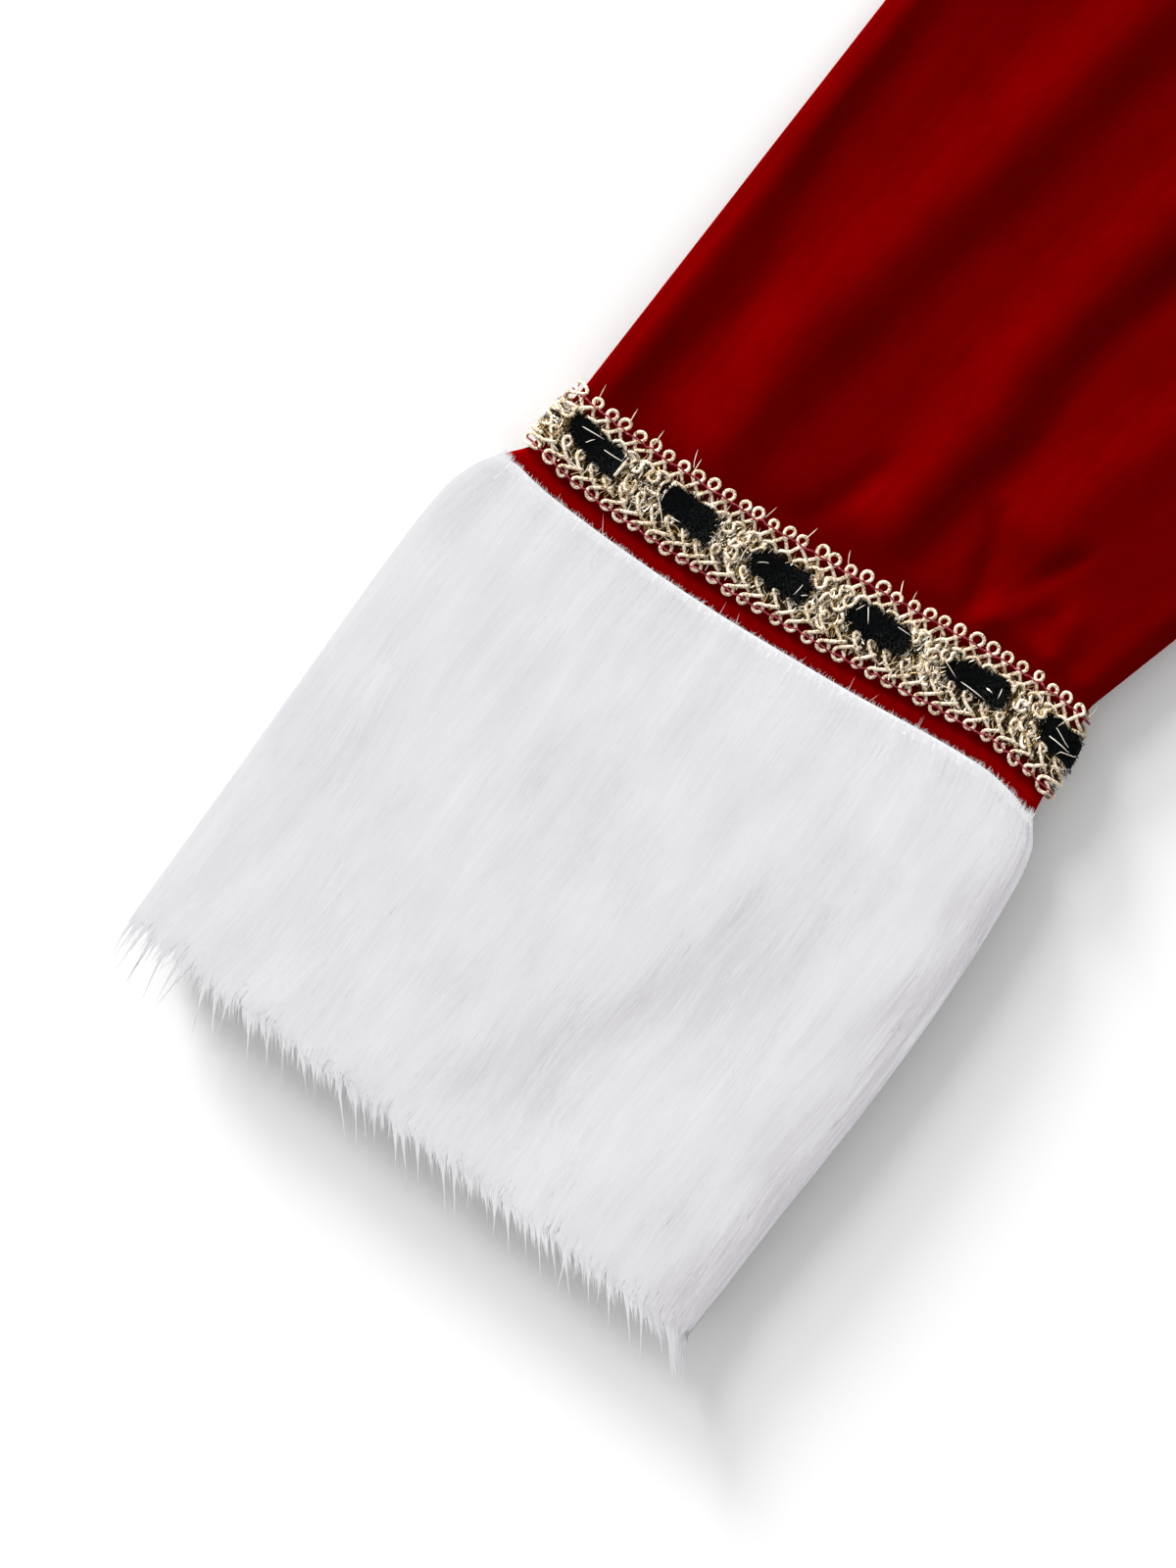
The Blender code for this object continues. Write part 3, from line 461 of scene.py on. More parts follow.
FRONT_FOLDS = folds_in_mm(
    (22, 5.6, (-175, -60), (-236, -250), (-306, -460)),
    (21, 4.6, (-120, -20), (-160, -240), (-214, -470)),
    (24, 5.6, (-66, 10), (-100, -220), (-118, -480)),
    (20, 3.8, (-16, -80), (-14, -270), (-24, -480)),
    (24, 5.4, (50, 0), (72, -230), (84, -480)),
    (21, 4.6, (104, -50), (150, -260), (182, -470)),
    (23, 5.6, (168, -10), (222, -230), (288, -460)),
    (12, 2, (-212, -120), (-268, -270), (-338, -440)),
    (11, -1.8, (-148, -70), (-196, -250), (-262, -470)),
    (12, -1.8, (-92, -110), (-130, -280), (-164, -480)),
    (13, 2.2, (-40, 50), (-56, -120), (-70, -300)),
    (12, -1.6, (20, -140), (28, -300), (26, -480)),
    (13, 2, (80, 40), (112, -110), (138, -290)),
    (11, -1.8, (134, -120), (186, -290), (238, -470)),
    (12, 2.2, (212, -120), (264, -260), (336, -440)),
    (12, 3, (-212, 176), (-150, 196), (-90, 232)),
    (12, 3, (214, 170), (160, 200), (100, 238)),
    (9, -1.4, (-204, 146), (-140, 160), (-70, 178)),
    (9, -1.4, (206, 140), (146, 158), (84, 186)),
    (11, 2.4, (-190, 60), (-130, 50), (-80, 20)),
    (11, 2.4, (188, 48), (125, 40), (70, 12)),
    (8, -1.4, (-196, 30), (-140, 8), (-96, -30)),
    (8, -1.4, (194, 22), (150, -2), (110, -40)),
    (12, 1.6, (-110, 118), (-50, 90), (10, 98)),
    (11, 1.4, (122, 108), (72, 80), (26, 60)),
    (11, 1.8, (-150, 395), (-130, 330), (-95, 270)),
    (11, 1.8, (152, 392), (126, 335), (100, 280)),
    (13, 1.4, (-64, 300), (-20, 262), (46, 276)),
)
CUFF_FOLDS = folds_in_mm(
    (13.5, -2.2, (-458.1, 30.4), (-470, 15.3), (-494.1, -2.7), (-524, -17.8), (-544.9, -35.8)),
    (11, 1.2, (-482, -7), (-508, -29), (-536, -46)),
    (10, -0.9, (-580, 68), (-570, 52), (-560, 38)),
    (9, -0.8, (-522, 60), (-516, 47), (-510, 35)),
)
# Light falls on the upper left of a ridge, so a ridge stands to the lower right of its painted sheen
FOLD_SHIFT = 0.7
# Slow unevenness that hand-laid cloth has
sleeve_waver = noise_field(11, 9, 0.055)
front_waver = noise_field(12, 11, 0.150)
pile_waver = noise_field(13, 12, 0.035)
pile_broad = noise_field(16, 12, 0.0180)
pile_streak = noise_field(14, 14, 0.0060)
pile_fine = noise_field(15, 16, 0.0018)


def sleeve_lift(up, place, width):
    """How high the upper cloth of the sleeve stands: loft, folds, and a roll along each edge."""
    x, y = np.moveaxis(sleeve_line(up, place), -1, 0)
    from_edge = np.minimum(place, 1 - place) * width
    height = SLEEVE_LOFT + fold_height(SLEEVE_FOLDS, x, y, FOLD_SHIFT) + 0.0003 * sleeve_waver(x, y)
    roll = SLEEVE_ROLL * hump(from_edge, 0.0045, 0.0038)
    calm = smooth((up - BRAID_TOP + 0.003) / 0.010) * smooth((SLEEVE_TOP - up) / 0.030)
    strip = STRIP_ROLL * hump(up, 0.0030, 0.0022)
    return (np.maximum(height, 0.0002) * smooth(from_edge / 0.012) + roll) * calm + strip


def sleeve_skin(up, share, out=0.0, lift=sleeve_lift):
    """Points of the sleeve's skin at heights up from the cuff seam."""
    up, share = np.broadcast_arrays(np.asarray(up, float), np.asarray(share, float))
    rise = SLEEVE_RISE * (1 - smooth(up / SLEEVE_RISE_LENGTH))
    half = np.full(up.shape, SLEEVE_HALF)
    return ring_points(sleeve_line, up, share, SLEEVE_HALF + rise, half, out, SLEEVE_EDGE_SHARE, lift)


def cuff_lift(along, place, width):
    x, y = np.moveaxis(cuff_line(along, place), -1, 0)
    from_edge = np.minimum(place, 1 - place) * width
    height = fold_height(CUFF_FOLDS, x, y, FOLD_SHIFT) + 0.0002 * pile_waver(x, y)
    return height * smooth(from_edge / 0.020) * smooth(along / 0.015)


def cuff_skin(along, share, out=0.0):
    """Points of the fur's outer surface; beyond the hem it narrows as the fringe does."""
    along, share, out = np.broadcast_arrays(np.asarray(along, float), np.asarray(share, float), out)
    top, bottom = cuff_column(along, TOP), np.maximum(cuff_column(along, BOTTOM), 0.0)
    beyond = np.clip((along - CUFF_HEM) / FRINGE_LENGTH, 0, 1.3)
    top = mix(top, FRINGE_TOP, beyond)
    middle, half = (top + bottom) / 2, (top - bottom) / 2
    edge = (CUFF_EDGE_SHARE, cuff_lift, CUFF_EDGE_POWER)
    return ring_points(cuff_line, along, share, middle, half, out, *edge)


def mirror(points, mirrored):
    return points * np.array((-1.0, 1.0, 1.0)) if mirrored else points


def mesh_from(name, points, quads, triangles, finish, mirrored=False):
    """A mesh object from arrays of points and faces, mirrored to the sleeve at +X if wanted."""
    points = mirror(np.asarray(points, float).reshape(-1, 3), mirrored).astype(np.float32)
    quads = np.asarray(quads, np.int32).reshape(-1, 4)
    triangles = np.asarray(triangles, np.int32).reshape(-1, 3)
    way = -1 if mirrored else 1
    corners = np.concatenate([quads[:, ::way].ravel(), triangles[:, ::way].ravel()])
    starts = np.concatenate([np.arange(len(quads)) * 4, len(quads) * 4 + np.arange(len(triangles)) * 3])
    data = bpy.data.meshes.new(name)
    data.vertices.add(len(points))
    data.vertices.foreach_set("co", points.ravel())
    data.loops.add(len(corners))
    data.loops.foreach_set("vertex_index", corners)
    data.polygons.add(len(starts))
    data.polygons.foreach_set("loop_start", starts.astype(np.int32))
    data.materials.append(finish)
    data.update(calc_edges=True)
    data.validate()
    data.shade_smooth()
    made = bpy.data.objects.new(name, data)
    bpy.context.collection.objects.link(made)
    return made


def grid_faces(rows, columns, closed):
    """Quads over a grid of points stored row by row, the last column joined to the first if closed."""
    cells = columns if closed else columns - 1
    row, column = (index.ravel() for index in np.mgrid[: rows - 1, :cells])
    start = row * columns + column
    after = row * columns + (column + 1) % columns
    return np.stack([start, after, after + columns, start + columns], 1)


def thin_shell(made, thickness):
    solid = made.modifiers.new("Cloth", "SOLIDIFY")
    solid.thickness = thickness
    solid.offset = -1.0
    solid.use_even_offset = False


def dress(made, slot, *replaced):
    """Fixes a piece to the dress, and hides the solids that it stands for. Its slot is not used."""
    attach(made, "root")
    if replaced:
        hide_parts(*replaced)


FLOW_ACROSS = 420
FLOW_ALONG = 60
# Places along a strand: from its root to its tip, or about its middle
ROOT_TO_TIP = np.linspace(0, 1, 4)[None, :]
END_TO_END = np.linspace(-0.5, 0.5, 4)[None, :]


def shade_value(made, name, values):
    attribute = made.data.attributes.new(name, "FLOAT", "POINT")
    attribute.data.foreach_set("value", np.asarray(values, np.float32).ravel())


def shade_flow(made, across, along):
    """Places on the cloth, drawn out along its pile, for the streaks of its nap."""
    attribute = made.data.attributes.new("flow", "FLOAT_VECTOR", "POINT")
    values = np.stack([across * FLOW_ACROSS, along * FLOW_ALONG, 0 * across], -1)
    attribute.data.foreach_set("vector", values.astype(np.float32).ravel())


def strands(name, centres, widths, sides, finish, mirrored, tint, normals=None):
    """Many flat tapering strands as one mesh: centres (n, k, 3), widths (n, k), sides (n, k, 3).

    The tint is (n, 1), or (n, k) where it changes from root to tip. Given normals shade each strand
    as a part of the surface that it lies on.
    """
    count, steps = centres.shape[:2]
    per = 2 * steps - 1
    aside = sides[:, :-1] * widths[:, :-1, None] / 2
    points = np.empty((count, per, 3))
    points[:, 0 : per - 1 : 2] = centres[:, :-1] - aside
    points[:, 1:per:2] = centres[:, :-1] + aside
    points[:, per - 1] = centres[:, -1]
    base = (np.arange(count) * per)[:, None]
    quads = np.concatenate([base + 2 * i + (0, 1, 3, 2) for i in range(steps - 2)])
    made = mesh_from(name, points, quads, base + (per - 3, per - 2, per - 1), finish, mirrored)
    twice = [2] * (steps - 1) + [1]
    shade_value(made, "tint", np.repeat(np.broadcast_to(tint, (count, steps)), twice, axis=1))
    if normals is not None:
        normals = mirror(np.repeat(normals, twice, axis=1).reshape(-1, 3), mirrored)
        made.data.normals_split_custom_set_from_vertices(normals.astype(np.float32))
    return made


def corner_map(made, places):
    """Gives a mesh its map for baked colours, from a place (0 to 1) for each of its points."""
    layer = made.data.uv_layers.new(name="OFBake")
    corners = np.empty(len(made.data.loops), np.int32)
    made.data.loops.foreach_get("vertex_index", corners)
    layer.data.foreach_set("uv", np.clip(places, 0.001, 0.999)[corners].astype(np.float32).ravel())


def band_map(made, places):
    """Maps points of the braid by their places round it and up it, in four rows."""
    turn = (places[:, 0] / BRAID_ROUND) % 1.0 * 4
    row = np.floor(turn)
    corner_map(made, np.stack([turn - row, (row + np.clip(places[:, 1] / 0.026, 0, 0.96)) / 4], 1))


def sideways(paths, normals):
    """Unit steps across paths (n, k, 3), square to the directions that they face."""
    return unit(np.cross(unit(np.gradient(paths, axis=1)), normals))


def tube_arrays(paths, normals, radius, sides):
    """Points and faces of round tubes along paths (n, k, 3), with closed ends."""
    count, steps = paths.shape[:2]
    side = sideways(paths, normals)
    over = np.cross(side, unit(np.gradient(paths, axis=1)))
    turn = np.arange(sides) * 2 * math.pi / sides
    ring = side[:, :, None] * np.cos(turn)[:, None] + over[:, :, None] * np.sin(turn)[:, None]
    points = paths[:, :, None] + ring * radius
    one = grid_faces(steps, sides, True)
    per = steps * sides
    base = (np.arange(count) * per)[:, None, None]
    quads = (one[None] + base).reshape(-1, 4)
    fan = np.array([(0, i + 1, i) for i in range(1, sides - 1)])
    last = (steps - 1) * sides
    caps = np.concatenate([fan, fan[:, ::-1] + last])
    return points.reshape(-1, 3), quads, (caps[None] + base).reshape(-1, 3)


def flat_sides(across, up):
    """Unit steps to the left of paths in a flat map, for paths (n, k)."""
    run = unit(np.gradient(np.stack([across, up], -1), axis=1))
    return np.stack([-run[..., 1], run[..., 0]], -1)


def strand_places(across, up, widths):
    """Places in a flat map for each point of a mesh of strands."""
    middle = np.stack([across, up], -1)
    aside = flat_sides(across, up) * widths[..., None] / 2
    pairs = np.stack([middle - aside, middle + aside], 2)[:, :-1]
    return np.concatenate([pairs.reshape(len(across), -1, 2), middle[:, -1:]], 1).reshape(-1, 2)


def tube_places(across, up, radius, sides):
    """Places in a flat map for each point of a mesh of tubes."""
    turn = np.cos(np.arange(sides) * 2 * math.pi / sides)
    aside = flat_sides(across, up)[:, :, None] * turn[:, None] * radius
    return (np.stack([across, up], -1)[:, :, None] + aside).reshape(-1, 2)


def add_node(tree, kind, **values):
    made = tree.nodes.new(kind)
    for key, value in values.items():
        if key in made.inputs:
            made.inputs[key].default_value = value
        else:
            setattr(made, key, value)
    return made


def link_math(tree, operation, *values):
    node = add_node(tree, "ShaderNodeMath", operation=operation)
    for socket, value in zip(node.inputs, values):
        if isinstance(value, float):
            socket.default_value = value
        else:
            tree.links.new(value, socket)
    return node.outputs[0]


# Which places a noise follows, its scale and detail, and what it adds to a colour's place in the stops
Noise = namedtuple("Noise", "source scale detail roughness gain offset", defaults=(0.55, 1.0, 0.0))
# How a surface shines, the stops of its colour, and what its colour and its bumps follow
Look = namedtuple("Look", "shine stops painted noises bump sheen_tint",
                  defaults=(None, (), None, (1.0, 1.0, 1.0)))
SHINE = ("Roughness", "Sheen Weight", "Sheen Roughness", "Metallic", "Specular IOR Level")
LOOKS = {
    # red stretch velvet: short pile, with its nap and with painted light and shade, lighter on ridges and
    # darker in troughs
    "velvet": Look(
        (0.9, 0.35, 0.35, 0.0, 0.0),
        [(0.0, (0.050, 0.0, 0.0)), (0.5, (0.120, 0.0, 0.0)), (1.0, (0.245, 0.0, 0.0))],
        painted="nap",
        noises=[
            Noise("place", 1400.0, 2.0, 0.6, 0.10, -0.05),
            Noise("place", 30.0, 3.0, 0.55, 0.16, -0.08),
            Noise("place", 150.0, 3.0, 0.55, 0.16, -0.08),
            Noise("flow", 1.0, 2.0, 0.55, 0.22, -0.11),
        ],
        bump=(0.25, 0.0002),
        sheen_tint=(1.0, 0.0, 0.0),
    ),
    # the dense white underfur below the strands, streaked along the pile
    "fur_bed": Look(
        (0.9, 0.2, 0.6, 0.0, 0.0),
        [(0.25, (0.60, 0.60, 0.615)), (0.75, (0.68, 0.68, 0.695))],
        noises=[Noise("flow", 1.0, 3.0)],
        bump=(0.5, 0.0004),
    ),
    # white acrylic strands, each a little lighter or greyer than the next, darker at its root, and with the
    # painted light and shade that their tint carries
    "fur": Look(
        (0.6, 0.0, 0.5, 0.0, 0.15),
        [(0.0, (0.470, 0.445, 0.475)), (0.5, (0.635, 0.633, 0.650)), (1.0, (0.745, 0.745, 0.755))],
        painted="tint",
        noises=[Noise("place", 45.0, 2.0, 0.55, 0.2, -0.1)],
    ),
    # cream gimp cord: fine yarn wound round a core, with painted shade in the gaps between the turns, where
    # its bumps sink
    "gimp_cord": Look(
        (0.5, 0.1, 0.5, 0.1, 0.25),
        [(0.37, (0.17, 0.08, 0.025)), (0.48, (0.78, 0.61, 0.39)), (0.58, (1.0, 0.91, 0.77))],
        noises=[Noise("place", 2400.0, 3.0, 0.7), Noise("place", 420.0, 2.0, 0.55, 0.4, -0.2)],
        bump=(0.8, 0.0002),
    ),
    # the ground under the cords, painted very dark as the shade under and between them, with flecks of gold
    # yarn
    "gimp_web": Look(
        (0.6, 0.0, 0.5, 0.3, 0.15),
        [(0.42, (0.014, 0.006, 0.002)), (0.60, (0.14, 0.08, 0.02)), (0.74, (0.52, 0.37, 0.16))],
        noises=[Noise("place", 1700.0, 3.0, 0.7)],
        bump=(1.0, 0.0004),
    ),
    # black velvet ribbon, and the pile round its puffs
    "ribbon": Look(
        (0.9, 0.03, 0.4, 0.0, 0.0),
        [(0.3, (0.001, 0.001, 0.0015)), (0.75, (0.006, 0.007, 0.007))],
        noises=[Noise("place", 2200.0, 2.0)],
        bump=(0.6, 0.0003),
    ),
    "ribbon_pile": Look(
        (0.8, 0.0, 0.5, 0.0, 0.1),
        [(0.0, (0.001, 0.001, 0.001)), (1.0, (0.007, 0.008, 0.008))],
        painted="tint",
    ),
    # flat metallic yarn, each end drawn at random between a painted shade and a painted glint, for its turn
    # to the light
    "lurex": Look(
        (0.28, 0.0, 0.5, 0.35, 0.12),
        [(0.0, (0.007, 0.003, 0.001)), (0.25, (0.10, 0.045, 0.010)), (0.50, (0.54, 0.35, 0.12)),
         (0.75, (0.86, 0.68, 0.38)), (1.0, (1.0, 0.95, 0.85))],
        painted="tint",
    ),
    # crimson sewing thread, with pale pink painted highlights at random along it
    "braid_thread": Look(
        (0.5, 0.1, 0.5, 0.0, 0.3),
        [(0.35, (0.15, 0.0, 0.008)), (0.58, (0.30, 0.006, 0.030)), (0.74, (0.60, 0.20, 0.24))],
        noises=[Noise("place", 900.0, 2.0)],
    ),
    "floor_white": Look((0.9, 0.0, 0.5, 0.0, 0.0), [(1.0, (0.90, 0.90, 0.90))]),
}


def new_material(kind, *part):
    """A material of one kind, for one part of the dress if named.

    Its colour follows the look's painted value and noises, summed, through the stops, and its bumps
    follow the look's first noise.
    """
    look = LOOKS[kind]
    made = bpy.data.materials.new("_".join([kind, *part]))
    made.use_nodes = True
    tree = made.node_tree
    shader = tree.nodes["Principled BSDF"]
    for socket, value in zip(SHINE, look.shine):
        shader.inputs[socket].default_value = value
    shader.inputs["Sheen Tint"].default_value = (*look.sheen_tint, 1.0)
    shader.inputs["Base Color"].default_value = (*look.stops[-1][1], 1.0)
    terms, heights = [], []
    if look.painted:
        terms.append(add_node(tree, "ShaderNodeAttribute", attribute_name=look.painted).outputs["Fac"])
    for noise in look.noises:
        if noise.source == "place":
            source = add_node(tree, "ShaderNodeNewGeometry").outputs["Position"]
        else:
            source = add_node(tree, "ShaderNodeAttribute", attribute_name=noise.source).outputs["Vector"]
        texture = add_node(tree, "ShaderNodeTexNoise", Scale=noise.scale, Detail=noise.detail,
                           Roughness=noise.roughness)
        tree.links.new(source, texture.inputs["Vector"])
        heights.append(texture.outputs["Fac"])
        terms.append(link_math(tree, "MULTIPLY_ADD", heights[-1], noise.gain, noise.offset))
    if terms:
        total = terms[0]
        for term in terms[1:]:
            total = link_math(tree, "ADD", total, term)
        ramp = tree.nodes.new("ShaderNodeValToRGB")
        elements = ramp.color_ramp.elements
        while len(elements) < len(look.stops):
            elements.new(0.5)
        for element, (place, colour) in zip(elements, look.stops):
            element.position = place
            element.color = (*colour, 1.0)
        tree.links.new(total, ramp.inputs["Fac"])
        tree.links.new(ramp.outputs["Color"], shader.inputs["Base Color"])
    if look.bump:
        bump = add_node(tree, "ShaderNodeBump", Strength=look.bump[0], Distance=look.bump[1])
        tree.links.new(heights[0], bump.inputs["Height"])
        tree.links.new(bump.outputs["Normal"], shader.inputs["Normal"])
    return made


def panel_columns(count):
    """Places across a panel from -1 to 1, with one at each side of the neck."""
    neck = SIDE_NECK[0] / SHOULDER[0]
    shoulder = np.linspace(-1, -neck, count // 4 + 1)
    middle = np.linspace(-neck, neck, count // 2 + 1)
    return np.concatenate([shoulder[:-1], middle, -shoulder[::-1][1:]])


def make_panel(node, neck_y, folds, seam_z, lower_rows, upper_rows, columns):
    """A body panel as a thin shell, with its folds."""
    rows = np.concatenate([np.linspace(0, 1, lower_rows + 1), np.linspace(1, 2, upper_rows + 1)[1:]])
    across, up = np.meshgrid(panel_columns(columns), rows)
    x, y = panel_plan(across, up, neck_y)
    edge = smooth((1 - np.abs(across)) / 0.10) * np.where(up > 1, smooth((2 - up) / 0.30 + 0.12), 1.0)
    relief = np.zeros_like(x)
    if folds:
        relief = fold_height(folds, x, y) + 0.0007 * front_waver(x, y)
        relief = np.maximum(FRONT_LOFT + relief, 0.0001) * edge
    points = np.stack([x, y, seam_z + relief + WALL * 0.95], -1)
    finish = new_material("velvet", node)
    made = mesh_from(f"dress_{node}", points, grid_faces(*across.shape, False), (), finish)
    # Painted light and shade of the folds: the cloth is drawn lighter where they stand up and darker where
    # they sink
    shade_value(made, "nap", PANEL_TONE + 70 * (relief - relief.mean()))
    shade_flow(made, x, y)
    thin_shell(made, WALL * 0.85)
    dress(made, "red_velvet", node)
    return made


def make_body():
    front = make_panel("front", FRONT_NECK_Y, FRONT_FOLDS, WALL + SEAM_GAP, 80, 36, 124)
    back = make_panel("back", BACK_NECK_Y, [], 0.0, 29, 18, 40)


Arm = namedtuple("Arm", "side mirrored seed top_hairs under_hairs bed sleeve cord_sides fineness yarns nap")
# Hairs, yarns and nap are counts of strands. The bed and the sleeve have rows, then cells on top and
# under. The left arm is out of the photograph, and is made with fewer of them.
ARMS = [
    Arm("right", False, 100, 27500, 5000, (50, 56, 30), (96, 83, 19), 7, 1.0, 12000, 7000),
    Arm("left", True, 200, 10500, 3500, (40, 40, 22), (58, 49, 11), 5, 0.6, 4500, 4000),
]


def make_sleeve(arm):
    rows, top_cells, under_cells = arm.sleeve
    heights = np.concatenate([np.linspace(0, 0.034, rows // 5), np.linspace(0.034, SLEEVE_TOP, rows)[1:]])
    share, up = np.meshgrid(ring_shares(SLEEVE_EDGE_SHARE, 3, top_cells, under_cells), heights)
    points = sleeve_skin(up, share)
    finish = new_material("velvet", "sleeve", arm.side)
    faces = grid_faces(*share.shape, True)
    made = mesh_from(f"sleeve_velvet_{arm.side}", points, faces, (), finish, arm.mirrored)
    across, angle = place_on_ring(share, SLEEVE_EDGE_SHARE)
    from_edge = np.minimum(across, 1 - across) * SLEEVE_MEAN_WIDTH
    # Painted light and shade: lighter on the folds' ridges and darker in their troughs, with a painted
    # highlight along the outer edge; the bare strip is drawn lighter
    folds = fold_height(SLEEVE_FOLDS, points[..., 0], points[..., 1])
    nap = SLEEVE_TONE + 115 * folds * smooth((up - BRAID_TOP + 0.004) / 0.006)
    nap = nap + EDGE_HIGHLIGHT * hump(from_edge, 0.002, 0.0035) * (across < 0.5)
    nap = np.where(angle > 0, nap, PANEL_TONE)
    shade_value(made, "nap", np.where(up < STRIP, STRIP_LIGHTNESS, nap))
    shade_flow(made, share * BRAID_ROUND, up)
    thin_shell(made, WALL * 0.8)
    dress(made, "red_velvet", f"sleeve_{arm.side}")
    return made


def corner_cut(share):
    """How far the hem falls short at the cuff's two rims."""
    return CORNER_DEPTH * smooth(1 - from_rim(share) / CORNER_SHARE)


def make_cuff_bed(arm):
    """The cuff's backing and dense underfur, just below the strands."""
    rows, top_cells, under_cells = arm.bed
    shares = ring_shares(CUFF_EDGE_SHARE, 5, top_cells, under_cells)
    share, down = np.meshgrid(shares, np.linspace(0.0, CUFF_HEM, rows))
    rim = from_rim(share) * CUFF_ROUND
    sink = -0.0003 - 0.0004 * smooth(down / 0.010) - 0.0006 * smooth((down - 0.126) / 0.011)
    sink = sink - 0.0014 * hump(rim, 0, 0.012)
    down = down - 0.0011 * smooth((rim - 0.004) / 0.008) * smooth(1 - down / 0.006)
    down = down - (0.0016 + 1.25 * corner_cut(share)) * smooth((down - 0.110) / 0.027)
    finish = new_material("fur_bed", arm.side)
    faces = grid_faces(*share.shape, True)[:, ::-1]
    made = mesh_from(f"cuff_bed_{arm.side}", cuff_skin(down, share, sink), faces, (), finish, arm.mirrored)
    shade_flow(made, share * CUFF_ROUND * 2, down)
    thin_shell(made, BED_THICKNESS)
    dress(made, "white_fur", f"cuff_fur_{arm.side}")
    return made


def fur_normals(along, share, out, face):
    """The way that strands face: nearly level, because fur scatters light more evenly than cloth."""
    step = 0.001
    turn = step / CUFF_ROUND
    ahead = cuff_skin(along + step, share, out) - cuff_skin(along - step, share, out)
    aside = cuff_skin(along, share + turn, out) - cuff_skin(along, share - turn, out)
    normal = unit(np.cross(aside, ahead))
    outward = cuff_skin(along, share, out + step) - cuff_skin(along, share, out)
    normal = normal * np.where((normal * outward).sum(-1, keepdims=True) < 0, -1.0, 1.0)
    return unit(0.10 * normal + np.array((0.0, 0.0, 1.0)) * face)


def fur_piece(name, arm, finish, paths, widths, tint, window, face=1.0, shadow=False):
    """One joined mesh of strands on the cuff, along paths of (along, share, out).

    Its window is the part of the cuff that its map shows: first and last share, first and last length.
    """
    along, share, out = paths
    centres = cuff_skin(along, share, out)
    shading = fur_normals(along, share, out, face)
    made = strands(name, centres, widths, sideways(centres, shading), finish, arm.mirrored, tint, shading)
    low, high, first, last = window
    places = strand_places(share * CUFF_ROUND, along, widths) - (low * CUFF_ROUND, first)
    corner_map(made, places / ((high - low) * CUFF_ROUND, last - first))
    made.visible_shadow = shadow
    dress(made, "white_fur")
    return made


def fur_tint(random, share, along, fine):
    """How white each strand is from root to tip, from the broad waves and streaks where it starts, and from
    painted light and shade: lighter on the folds' ridges and on the rim's last strands, darker in the folds'
    troughs and along the inner side.
    """
    x, y = np.moveaxis(cuff_skin(along, share, 0.0), -1, 0)[:2]
    streak = pile_streak(share * CUFF_ROUND, along * 0.14)
    tint = 0.55 + 0.06 * pile_broad(x, y) + 0.05 * streak + 0.05 * fine
    tint = tint + 0.045 * random.standard_normal(share.shape)
    # Painted shade along the inner side, which turns away from the light, and in the folds' troughs; painted
    # light on the folds' ridges and on the strands at the very rim
    shaded_side = hump((0.495 - share) * CUFF_ROUND, 0, 0.008 + 0.05 * along)
    light_and_shade = 100 * fold_height(CUFF_FOLDS, x, y) - 0.34 * shaded_side * (1 + 0.7 * fine)
    light_and_shade = light_and_shade + 0.28 * smooth((share - 0.486) / 0.010)
    return np.where(share < 0.515, tint + light_and_shade, tint) + (-0.03, 0.0, 0.01, 0.03)


def pile(arm, finish, place, seed, count, low, high, face=1.0):
    """Strands of the fur that lie towards the hem and end about there."""
    random = np.random.default_rng(seed)
    size = (count, 1)
    share = random.uniform(low, high, size)
    along = CUFF_HEM * random.uniform(0, 1, size) ** 1.12 - 0.0006
    lumps = 0.0011 * np.clip(pile_streak(share * CUFF_ROUND, 0.3), -1.5, 1.5)
    hem = CUFF_HEM + random.uniform(*HEM_WAVER, size) + lumps - corner_cut(share)
    end = np.maximum(np.minimum(along + random.uniform(*HAIR_LENGTH, size), hem), along + 0.003)
    fine = pile_fine(share * CUFF_ROUND, along * 0.12)
    lean = 0.07 * pile_waver(share * CUFF_ROUND, along) + 0.022 * random.standard_normal(size)
    depth = random.uniform(*HAIR_DEPTH, size)
    lift = random.uniform(-0.00002, 0.00003, size) + 0.00003 * np.clip(fine, -1, 1)
    out = lift * ROOT_TO_TIP - depth * (1 - ROOT_TO_TIP) ** 1.3
    if face < 0:
        out = np.minimum(out, 0.0)
    widths = random.uniform(*HAIR_WIDTH, size) * (1 - 0.75 * ROOT_TO_TIP**1.4)
    tint = fur_tint(random, share, along, fine)
    path = share + lean * (end - along) / CUFF_ROUND * ROOT_TO_TIP
    paths = (along + (end - along) * ROOT_TO_TIP, path, out)
    window = (low, high, 0, FRINGE_MAP_LENGTH)
    return fur_piece(f"fur_{place}_{arm.side}", arm, finish, paths, widths, tint, window, face)


